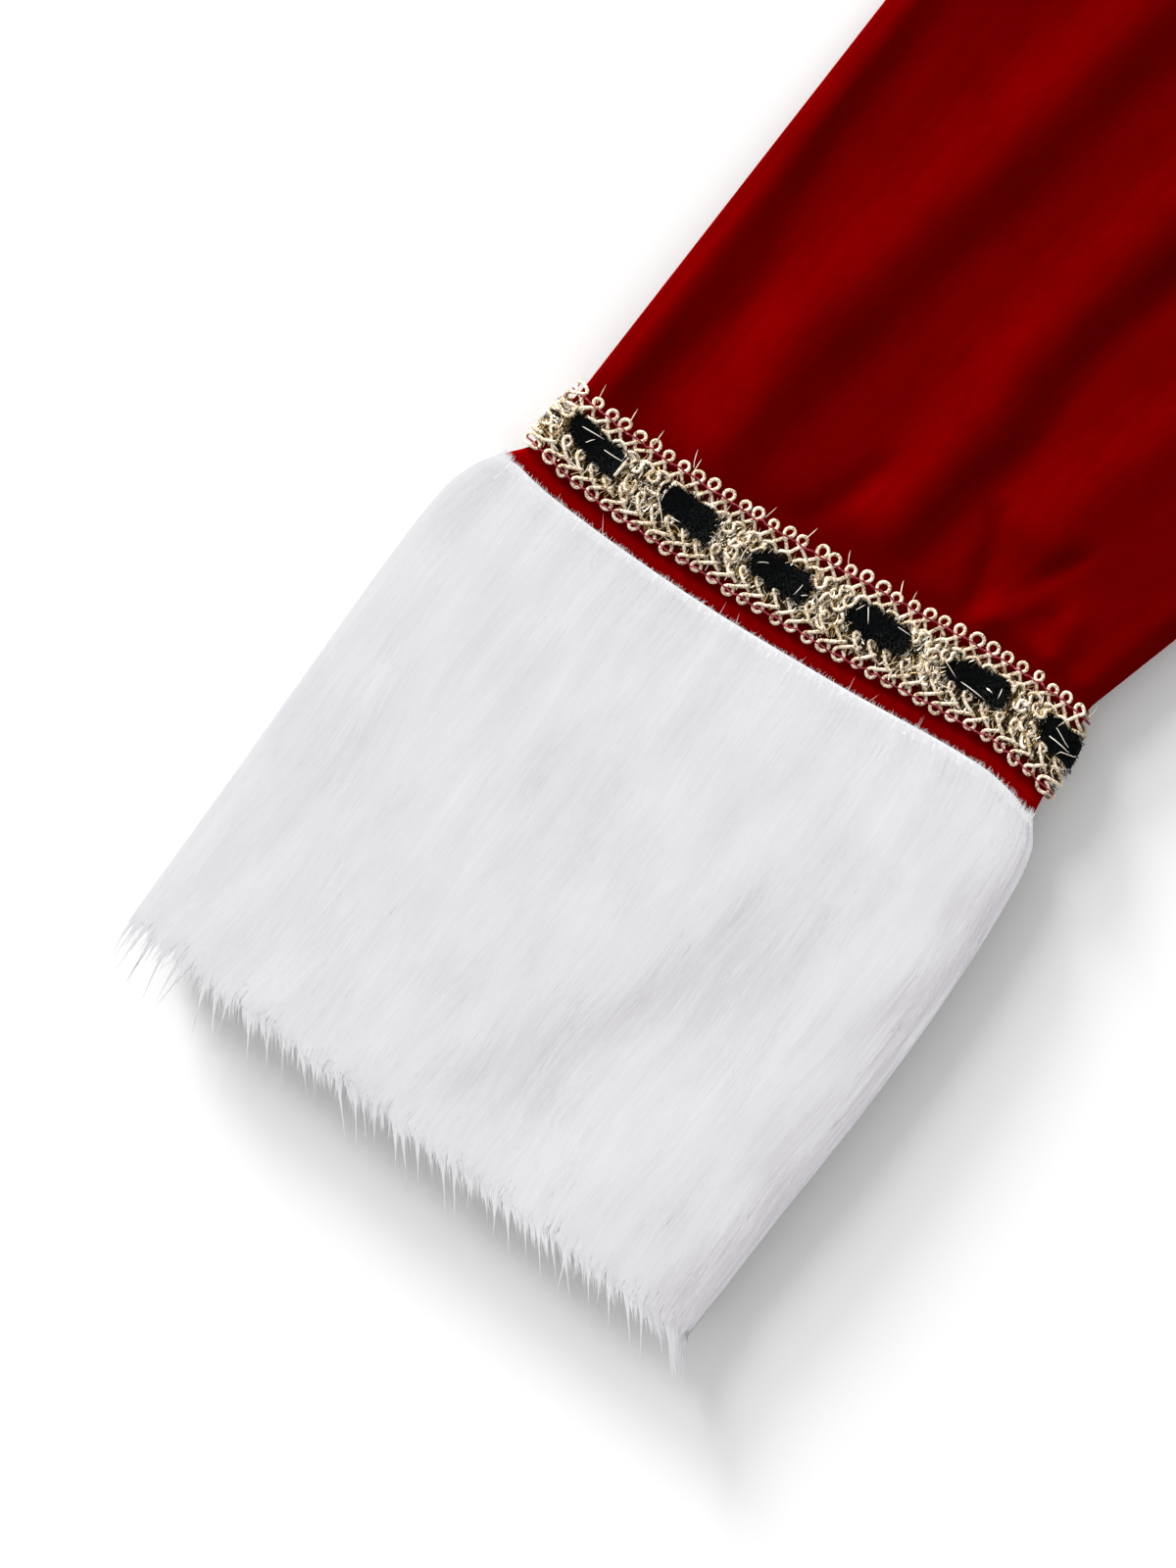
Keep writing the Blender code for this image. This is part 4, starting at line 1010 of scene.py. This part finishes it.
def fringe(arm, finish, seed, count):
    """Hairs that hang past the hem, many of them gathered in thin spikes and the rest loose."""
    random = np.random.default_rng(seed)
    size = (count, 1)
    share = random.uniform(FRINGE_FIRST - 0.006, FRINGE_LAST + 0.012, size)
    centre = share.copy()
    reach = mix(*LOOSE_REACH, random.uniform(0, 1, size) ** 1.6)
    length = reach.copy()
    lean = random.normal(0, 0.10, size)
    drawn = random.random(size)
    taken = np.zeros(size, bool)
    for spike_count, shortest, longest, part in SPIKES:
        chosen = (drawn < part) & ~taken
        drawn = drawn - part
        taken = taken | chosen
        column = np.round(share[chosen] * spike_count).astype(int) % spike_count
        places = (np.arange(spike_count) + random.uniform(-0.45, 0.45, spike_count)) / spike_count
        offset = (places[column] - share[chosen] + 0.5) % 1.0 - 0.5
        centre[chosen] = share[chosen] + offset
        spike_reach = random.uniform(shortest, longest, spike_count)
        length[chosen] = spike_reach[column]
        reach[chosen] = spike_reach[column] * random.uniform(0.55, 1.0, chosen.sum())
        lean[chosen] = random.normal(0, 0.10, spike_count)[column]
    start = CUFF_HEM - random.uniform(*FRINGE_START, size) - 0.6 * corner_cut(share)
    t = ROOT_TO_TIP**0.85
    along = start + (CUFF_HEM + reach - start) * t
    beyond = np.clip((along - CUFF_HEM + SPIKE_START) / (length + SPIKE_START), 0, 1)
    path = centre + (share - centre) * (1 - beyond) ** 2.4
    path = path + lean * np.maximum(along - CUFF_HEM + 0.004, 0) / CUFF_ROUND
    held = np.clip(path, FRINGE_FIRST, FRINGE_LAST - random.uniform(0, 0.018, size))
    path = mix(path, held, smooth((along - CUFF_HEM + 0.012) / 0.012))
    out = -0.0003 - 0.0009 * smooth((CUFF_HEM - along) / 0.006)
    widths = random.uniform(*FRINGE_WIDTH, size) * (1 - 0.50 * t**2)
    tint = fur_tint(random, share, start, pile_fine(share * CUFF_ROUND, start * 0.12))
    kept = (((share > 0.030) & (share < 0.466)) | (random.random(size) < 0.50))[:, 0]
    paths = (along[kept], path[kept], out[kept])
    window = (-0.015, 0.515, 0, FRINGE_MAP_LENGTH)
    return fur_piece(f"fringe_{arm.side}", arm, finish, paths, widths[kept], tint[kept], window, shadow=True)


def seam_fuzz(arm, finish, seed, count):
    """Short hairs that stand back over the red strip along the cuff's seam."""
    random = np.random.default_rng(seed)
    size = (count, 1)
    share = random.uniform(0, 1, size)
    back = random.uniform(*FUZZ_LENGTH, size) * np.where(random.random(size) < 0.004, 2.2, 1.0)
    along = random.uniform(0.0000, 0.0016, size) - back * ROOT_TO_TIP
    path = share + random.normal(0, 0.0010, size) / CUFF_ROUND * ROOT_TO_TIP
    over = share < 0.5
    out = mix(0.0001, np.where(over, random.uniform(-0.0005, 0.0001, size), -0.0004), ROOT_TO_TIP)
    widths = random.uniform(*FUZZ_WIDTH, size) * (1 - 0.8 * ROOT_TO_TIP)
    tint = random.uniform(0.55, 0.95, size)
    window = (0, 1, -0.006, 0.006)
    face = np.where(over, 1.0, -1.0)[..., None]
    return fur_piece(f"fur_fuzz_{arm.side}", arm, finish, (along, path, out), widths, tint, window, face)


def make_fur(arm):
    finish = new_material("fur", arm.side)
    return [
        pile(arm, finish, "outer", arm.seed, arm.top_hairs, -0.015, 0.25),
        pile(arm, finish, "inner", arm.seed + 1, arm.top_hairs, 0.25, 0.515),
        pile(arm, finish, "under", arm.seed + 2, arm.under_hairs, 0.515, 0.985, -1.0),
        fringe(arm, finish, arm.seed + 4, arm.top_hairs // 5),
        seam_fuzz(arm, finish, arm.seed + 3, arm.top_hairs // 5),
    ]


def band_point(round_at, height, out):
    """A point over the sleeve, which the braid holds flat: distance round, height up the braid, and out."""
    share = np.asarray(round_at) / BRAID_ROUND
    up = STRIP + np.asarray(height) * (BRAID_TOP - STRIP) / BRAID_HEIGHT
    return sleeve_skin(up, share, out, lift=None)


def band_paths(round_at, height, out):
    """Paths over the band, with the direction out of the cloth at each point."""
    round_at, height, out = np.broadcast_arrays(round_at, height, out)
    points = band_point(round_at, height, out)
    return points, unit(band_point(round_at, height, out + 0.001) - points)


def slot_middles():
    return FIRST_SLOT + np.arange(SLOT_COUNT) * BRAID_ROUND / SLOT_COUNT


def slot_share(round_at):
    """The nearest slot to each place round the band, and how far along it the place is."""
    turn = (round_at[..., None] - slot_middles() + BRAID_ROUND / 2) % BRAID_ROUND - BRAID_ROUND / 2
    nearest = np.abs(turn).argmin(-1)
    return nearest, np.take_along_axis(turn, nearest[..., None], -1)[..., 0]


def slot_gaps():
    """The middles of the close parts between the ribbon's patches."""
    return slot_middles() + BRAID_ROUND / SLOT_COUNT / 2


def patch_edges(round_at):
    """The heights of the nearest patch's lower and upper edges at places round the band."""
    nearest, away = slot_share(round_at)
    rows = PATCHES[nearest % len(PATCHES)] * MM
    share = np.clip(away / SLOT_LENGTH + 0.5, 0, 1)
    low = mix(rows[..., 0], rows[..., 2], share) - PATCH_SPREAD
    high = mix(rows[..., 1], rows[..., 3], share) + PATCH_SPREAD
    return low, high, away


def puff_height(depth, low, rise):
    """How far a sheet stands off the velvet, from how far inside a patch it is."""
    return low + rise * smooth(depth / 0.0013 + 0.25)


def patch_depth(round_at, height):
    """How far inside the ribbon's nearest open patch each place is, less than 0 outside it."""
    low, high, away = patch_edges(round_at)
    across = np.abs(away) / (SLOT_LENGTH / 2)
    up = np.abs(height - (low + high) / 2) / ((high - low) / 2)
    return (1 - (across**4 + up**4) ** 0.25) * (high - low) / 2


def smooth_route(rows, count):
    """A cord's route through rows of (across, height, out) in mm, as evenly spaced points in metres."""
    rows = np.asarray(rows, float)
    run = np.concatenate([[0], np.cumsum(np.linalg.norm(np.diff(rows, axis=0), axis=1))])
    at = np.linspace(0, run[-1], count)
    return route_through(run, rows, at) * MM


def ring_rows(start, end, centre_height, radius_across, radius_up, out_start, out_end):
    """Rows round part of a ring, from a start to an end angle in degrees."""
    turn = np.radians(np.linspace(start, end, 13))
    out = np.linspace(out_start, out_end, 13)
    return list(zip(radius_across * np.cos(turn), centre_height + radius_up * np.sin(turn), out))


# Routes of cord, as rows of (across, height, out) in mm
PICOT_LEGS = [(2.5, 15.5, 1.0), (1.5, 16.7, 1.4), (0.5, 17.9, 1.6), (-0.5, 18.9, 1.5)]
# A ring on the upper edge whose two ends cross below it
PICOT = (
    PICOT_LEGS
    + ring_rows(222, -42, PICOT_CENTRE, PICOT_RADIUS, PICOT_RADIUS, 1.5, 1.7)
    + [(-across, height, out + 0.5) for across, height, out in reversed(PICOT_LEGS)]
)
CAP = [(-2.2, 14.6, 1.3), (-1.4, 15.8, 1.9), (0.0, 16.3, 2.2), (1.2, 15.7, 2.0), (1.8, 14.4, 1.4)]
UPPER_LOOP = [(-1.5, 15.4, 1.5)] + ring_rows(120, 415, 13.6, 1.3, 1.35, 2.0, 2.6) + [(1.3, 15.5, 1.6)]
# A teardrop loop under the ribbon that leaves in a long leg down to the right
LOWER_LOOP = (
    [(-0.6, 6.0, 1.3)]
    + ring_rows(-55, 235, 7.8, 0.85, 1.15, 1.9, 2.3)
    + [(0.4, 5.9, 2.3), (1.5, 4.9, 2.2), (2.6, 4.2, 1.9), (3.6, 3.5, 1.3)]
)
# A ring on the lower edge whose upper end climbs to the right over the legs
LOWER_RING = (
    ring_rows(75, -245, 1.75, PICOT_RADIUS, PICOT_RADIUS, 1.5, 2.2)
    + [(0.5, 3.3, 2.4), (1.4, 3.9, 2.5), (2.4, 4.5, 2.4), (3.5, 5.3, 1.8)]
)
# Loose arcs in the close part between two of the ribbon's patches: where each starts, and its height
TANGLES = ((200, 12.6), (20, 11.4), (110, 9.6), (290, 8.8), (150, 6.8))


def cord_row(random, route, centres, count):
    """One route repeated at places round the band, each a little turned, stretched and shifted."""
    shape = smooth_route(route, count)
    size = (len(centres), 1)
    middle = shape[:, 1].mean()
    tilt = random.normal(0, 0.10, size)
    stretch = random.uniform(0.90, 1.08, size)
    drift = np.sin(np.linspace(0, 2 * math.pi, count) + random.uniform(0, 6.28, size))
    across = shape[:, 0] * stretch + tilt * (shape[:, 1] - middle)
    height = middle + (shape[:, 1] - middle) * stretch - tilt * shape[:, 0]
    across = across + random.normal(0, WOBBLE, size) + drift * random.normal(0, WOBBLE, size)
    height = height + random.normal(0, WOBBLE, size) + drift * random.normal(0, WOBBLE, size)
    return centres[:, None] + across, height, shape[:, 2] + random.uniform(-0.0001, 0.0003, size)


def cord_piece(name, arm, finish, radius, sides, cords, slot, *replaced):
    """Tubes over the band as one mesh, along cords of (distance round, height, out)."""
    points, quads, caps, places, start = [], [], [], [], 0
    for round_at, height, out in cords:
        tube_points, tube_quads, tube_caps = tube_arrays(*band_paths(round_at, height, out), radius, sides)
        points.append(tube_points)
        quads.append(tube_quads + start)
        caps.append(tube_caps + start)
        places.append(tube_places(round_at, height, radius, sides))
        start += len(tube_points)
    points, quads, caps, places = (np.concatenate(parts) for parts in (points, quads, caps, places))
    made = mesh_from(f"{name}_{arm.side}", points, quads, caps, finish, arm.mirrored)
    band_map(made, places)
    dress(made, slot, *replaced)
    return made


def make_gimp(arm):
    """The braid's thick cream cords: rings along both edges, and the loops and legs between them.

    A loop that would lie over the ribbon's patch is pushed off it.
    """
    random = np.random.default_rng(arm.seed + 10)
    pitch = BRAID_ROUND / PICOT_COUNT
    places = (np.arange(PICOT_COUNT) + 0.35) * pitch
    away = np.abs(slot_share(places)[1])
    rows = [
        (PICOT, places, 30),
        (CAP, places + pitch / 2, 8),
        (UPPER_LOOP, places[away > 0.0070], 17),
        (LOWER_LOOP, places + pitch * 0.2, 21),
        (LOWER_RING, places, 23),
    ]
    for start, centre_height in TANGLES:
        loose = slot_gaps() + random.uniform(-0.0042, 0.0042, SLOT_COUNT)
        start = start + random.uniform(-30, 30)
        rows.append((ring_rows(start, start + 170, centre_height, 1.7, 1.9, 1.7, 2.9), loose, 11))
    cords = []
    for route, centres, count in rows:
        round_at, height, out = cord_row(random, route, centres, max(6, round(count * arm.fineness)))
        low, high, away = patch_edges(round_at)
        beside = smooth((SLOT_LENGTH / 2 + 0.0008 - np.abs(away)) / 0.0016)
        lower = height < (low + high) / 2
        under = np.maximum(height - (low - 0.0002), 0) * lower
        over = np.maximum(high + 0.0003 - height, 0) * ~lower
        cords.append((round_at, height + beside * (over - under) * 0.8, out))
    finish = new_material("gimp_cord", arm.side)
    return cord_piece("gimp_cords", arm, finish, CORD_RADIUS, arm.cord_sides, cords, "gold_gimp",
                      f"braid_gold_front_{arm.side}", f"braid_gold_back_{arm.side}")


def make_stitches(arm):
    """The crimson thread along each row of rings, which holds the braid down."""
    random = np.random.default_rng(arm.seed + 14)
    count = PICOT_COUNT * 3
    start = (np.arange(count) * BRAID_ROUND / count)[:, None]
    round_at = start + ROOT_TO_TIP * BRAID_ROUND / count
    held = mix(0.62, 1.0, smooth(from_rim(round_at / BRAID_ROUND) * BRAID_ROUND / 0.010))
    threads = []
    for base, over in THREAD_ROWS:
        knots = random.normal(0, 0.00022, (count, 1))
        height = base + mix(knots, np.roll(knots, -1, axis=0), ROOT_TO_TIP)
        out = over + 0.0004 * np.sin(math.pi * ROOT_TO_TIP) * (random.random((count, 1)) < 0.6)
        threads.append((round_at, height, out * held))
    finish = new_material("braid_thread", arm.side)
    return cord_piece("braid_thread", arm, finish, THREAD_RADIUS, 4, threads, "red_velvet")


def band_piece(name, arm, finish, slot, paths, widths, tint, roll=0.0):
    """One joined mesh of strands over the band, along paths of (distance round, height, out)."""
    centres, normals = band_paths(*paths)
    flat = sideways(centres, normals)
    sides = unit(flat * np.cos(roll) + normals * np.sin(roll))
    made = strands(f"{name}_{arm.side}", centres, widths, sides, finish, arm.mirrored, tint)
    band_map(made, strand_places(paths[0], paths[1], widths))
    dress(made, slot)
    return made


def yarn_ends(name, arm, finish, random, centre, height, heading, length, out, spread, width, tint, roll):
    """Short yarn ends over the band, from the middle, heading and length of each.

    The spread is of how much they bend, the width is from the thinnest to the thickest, and the roll
    is the most that they turn about themselves.
    """
    turn = heading + random.normal(0, spread, centre.shape) * END_TO_END
    round_at = centre + length * END_TO_END * np.cos(turn)
    up = height + length * END_TO_END * np.sin(turn)
    widths = random.uniform(*width, centre.shape) * np.ones(4)
    rolled = random.uniform(-roll, roll, centre.shape)[..., None]
    return band_piece(name, arm, finish, "gold_gimp", (round_at, up, out), widths, tint, rolled)


def make_lurex(arm, finish):
    """The fine metallic yarns tangled between the cords, mostly between the ribbon's patches."""
    random = np.random.default_rng(arm.seed + 11)
    near = arm.yarns * 6 // 10
    rest = arm.yarns - near
    between = slot_gaps()[random.integers(0, SLOT_COUNT, near)] + random.uniform(-0.0066, 0.0066, near)
    centre = np.concatenate([between, random.uniform(0, BRAID_ROUND, rest)])
    height = np.concatenate([random.uniform(0.0060, 0.0150, near), random.uniform(0.0036, 0.0170, rest)])
    keep = patch_depth(centre, height) < -0.0002
    centre, height = centre[keep][:, None], height[keep][:, None]
    size = centre.shape
    upright = random.random(size) < 0.5
    heading = np.where(upright, random.normal(1.45, 0.28, size), random.uniform(0, math.pi, size))
    length = random.uniform(*YARN_LENGTH, size)
    out = random.uniform(*YARN_OUT, size) + random.normal(0, 0.0008, size) * END_TO_END
    # Painted shade and glints: each end is drawn dark or bright at random
    tint = random.choice(YARN_LIGHT_AND_SHADE, size, p=YARN_LIGHT_AND_SHADE_SHARES)
    tint = np.clip(tint + random.normal(0, 0.05, size), 0, 1)
    return yarn_ends("gimp_lurex", arm, finish, random, centre, height, heading, length,
                     np.maximum(out, 0.0008), 0.7, YARN_WIDTH, tint, 0.8)


def make_stray(arm, finish):
    """Loose metallic ends: over the ribbon, and standing out past the braid's upper edge."""
    random = np.random.default_rng(arm.seed + 12)
    again = LOOSE_ENDS[LOOSE_ENDS[:, 0] < 5] + (6, 0, 0, 0, 0)
    slot, across_1, height_1, across_2, height_2 = np.concatenate([LOOSE_ENDS, again]).T
    across, rise = (across_2 - across_1) * MM, (height_2 - height_1) * MM
    middle = slot_middles()[slot.astype(int)] + (across_1 + across_2) / 2 * MM
    pairs = [
        (middle, random.uniform(0, BRAID_ROUND, EDGE_ENDS)),
        ((height_1 + height_2) / 2 * MM, random.uniform(0.0212, 0.0232, EDGE_ENDS)),
        (np.arctan2(rise, across), random.normal(math.radians(92), 0.28, EDGE_ENDS)),
        (np.hypot(across, rise), random.uniform(0.0028, 0.0052, EDGE_ENDS)),
        (np.full(len(slot), 0.0030), np.full(EDGE_ENDS, 0.0016)),
    ]
    centre, height, heading, length, base = (np.concatenate(pair)[:, None] for pair in pairs)
    waver = random.normal(0, 0.0003, centre.shape) * END_TO_END
    out = base + 0.0005 * np.cos(math.pi * END_TO_END) + waver
    # Painted glints: the loose ends are drawn near the lurex's lightest colour
    tint = np.concatenate([np.full(len(slot), 0.97), random.uniform(0.80, 1.0, EDGE_ENDS)])[:, None]
    return yarn_ends("gimp_stray", arm, finish, random, centre, height, heading, length, out, 0.12,
                     STRAY_WIDTH, tint, 0.2)


def band_sheet(name, arm, finish, cells, heights, puff, slot, *replaced, opened=False):
    """A sheet round the band, puffed over the ribbon's patches or opened there."""
    round_at, height = np.meshgrid(np.linspace(0, BRAID_ROUND, cells + 1)[:-1], heights)
    depth = patch_depth(round_at, height)
    points = band_point(round_at, height, puff_height(depth, *puff))
    faces = grid_faces(*depth.shape, True)
    if opened:
        faces = faces[~(depth > 0.0003).reshape(-1)[faces].any(1)]
    made = mesh_from(f"{name}_{arm.side}", points, faces, (), finish, arm.mirrored)
    thin_shell(made, BAND_THICKNESS)
    dress(made, slot, *replaced)
    return made


def make_web(arm):
    """The close brown ground that the cords are worked on, drawn very dark as painted shade between the
    cords, and open over the ribbon.
    """
    finish = new_material("gimp_web", arm.side)
    heights = np.linspace(WEB_LOW, WEB_HIGH, 12)
    return band_sheet("gimp_web", arm, finish, 284, heights, WEB_PUFF, "gold_gimp", opened=True)


def make_ribbon(arm):
    """The black velvet ribbon, puffed where it shows."""
    finish = new_material("ribbon", arm.side)
    heights = np.linspace(RIBBON_LOW, RIBBON_HIGH, 13)
    return band_sheet("ribbon_velvet", arm, finish, 426, heights, RIBBON_PUFF, "black_ribbon",
                      f"ribbon_black_{arm.side}")


def make_nap(arm, finish):
    """The short pile round each of the ribbon's puffs."""
    random = np.random.default_rng(arm.seed + 13)
    tries = arm.nap * 3
    middle = slot_middles()[random.integers(0, SLOT_COUNT, tries)]
    centre = middle + random.uniform(-0.5, 0.5, tries) * SLOT_LENGTH
    height = random.uniform(RIBBON_LOW, RIBBON_HIGH, tries)
    depth = patch_depth(centre, height)
    keep = (depth > -0.0002) & (random.random(tries) < np.where(depth < 0.0012, 1.0, 0.25))
    centre, height, depth, middle = (row[keep][: arm.nap, None] for row in (centre, height, depth, middle))
    size = centre.shape
    heading = np.arctan2(height - 0.0112, (centre - middle) * 0.6) + random.normal(0, 0.5, size)
    reach = random.uniform(*NAP_LENGTH, size)
    t = np.linspace(0, 1, 3)
    out = puff_height(depth + 0.0005, *RIBBON_PUFF) + 0.0006 * t
    paths = (centre + reach * np.cos(heading) * t, height + reach * np.sin(heading) * t, out)
    tint = random.uniform(0, 1, size)
    return band_piece("ribbon_nap", arm, finish, "black_ribbon", paths, np.full(out.shape, NAP_WIDTH), tint)


def make_floor():
    size = 30.0
    height = -0.0004
    points = [(-size, -size, height), (size, -size, height), (size, size, height), (-size, size, height)]
    mesh_from("floor", points, [(0, 1, 2, 3)], (), new_material("floor_white"))


SKY_LIGHT = 0.66  # seen past the floor's end, the sky is as white as the floor
# Each light's strength, spread, heading and elevation
SUNS = {"key": (1.20, 18, -60, 34), "low_key": (4.15, 16, -68, 15.2)}


def add_sun(name, strength, spread, heading, elevation):
    """A soft distant light: heading is the way it travels over the floor, in degrees from +X."""
    light = bpy.data.lights.new(name, "SUN")
    light.energy = strength
    light.angle = math.radians(spread)
    lamp = bpy.data.objects.new(name, light)
    turn, drop = math.radians(heading), math.radians(elevation)
    travel = Vector((math.cos(turn) * math.cos(drop), math.sin(turn) * math.cos(drop), -math.sin(drop)))
    lamp.rotation_euler = travel.to_track_quat("-Z", "Y").to_euler()
    bpy.context.collection.objects.link(lamp)


def make_light():
    world = bpy.data.worlds.new("studio")
    bpy.context.scene.world = world
    world.use_nodes = True
    background = world.node_tree.nodes["Background"]
    background.inputs["Color"].default_value = (1.0, 1.0, 1.0, 1.0)
    seen = add_node(world.node_tree, "ShaderNodeLightPath").outputs["Is Camera Ray"]
    backdrop = link_math(world.node_tree, "MULTIPLY_ADD", seen, 1 - SKY_LIGHT, SKY_LIGHT)
    world.node_tree.links.new(backdrop, background.inputs["Strength"])
    for name, values in SUNS.items():
        add_sun(name, *values)
    bpy.context.scene.view_settings.view_transform = "Standard"
    bpy.context.scene.view_settings.look = "None"


def make_camera():
    lens = bpy.data.cameras.new("camera")
    lens.type = "PERSP"
    lens.lens = CAMERA_LENS
    lens.sensor_width = SENSOR
    lens.clip_start = 0.05
    lens.clip_end = 50.0
    camera = bpy.data.objects.new("camera", lens)
    camera.location = (*FRAME_CENTRE, CAMERA_PLANE + FRAME_HEIGHT * CAMERA_LENS / SENSOR)
    bpy.context.collection.objects.link(camera)
    bpy.context.scene.camera = camera


make_camera()
make_light()
make_floor()
make_body()
lurex = new_material("lurex")
ribbon_pile = new_material("ribbon_pile")
for arm in ARMS:
    sleeve = make_sleeve(arm)
    bed = make_cuff_bed(arm)
    fur = make_fur(arm)
    yarns = [make_gimp(arm), make_lurex(arm, lurex), make_stray(arm, lurex), make_stitches(arm)]
    web = make_web(arm)
    ribbon = make_ribbon(arm)
    nap = make_nap(arm, ribbon_pile)
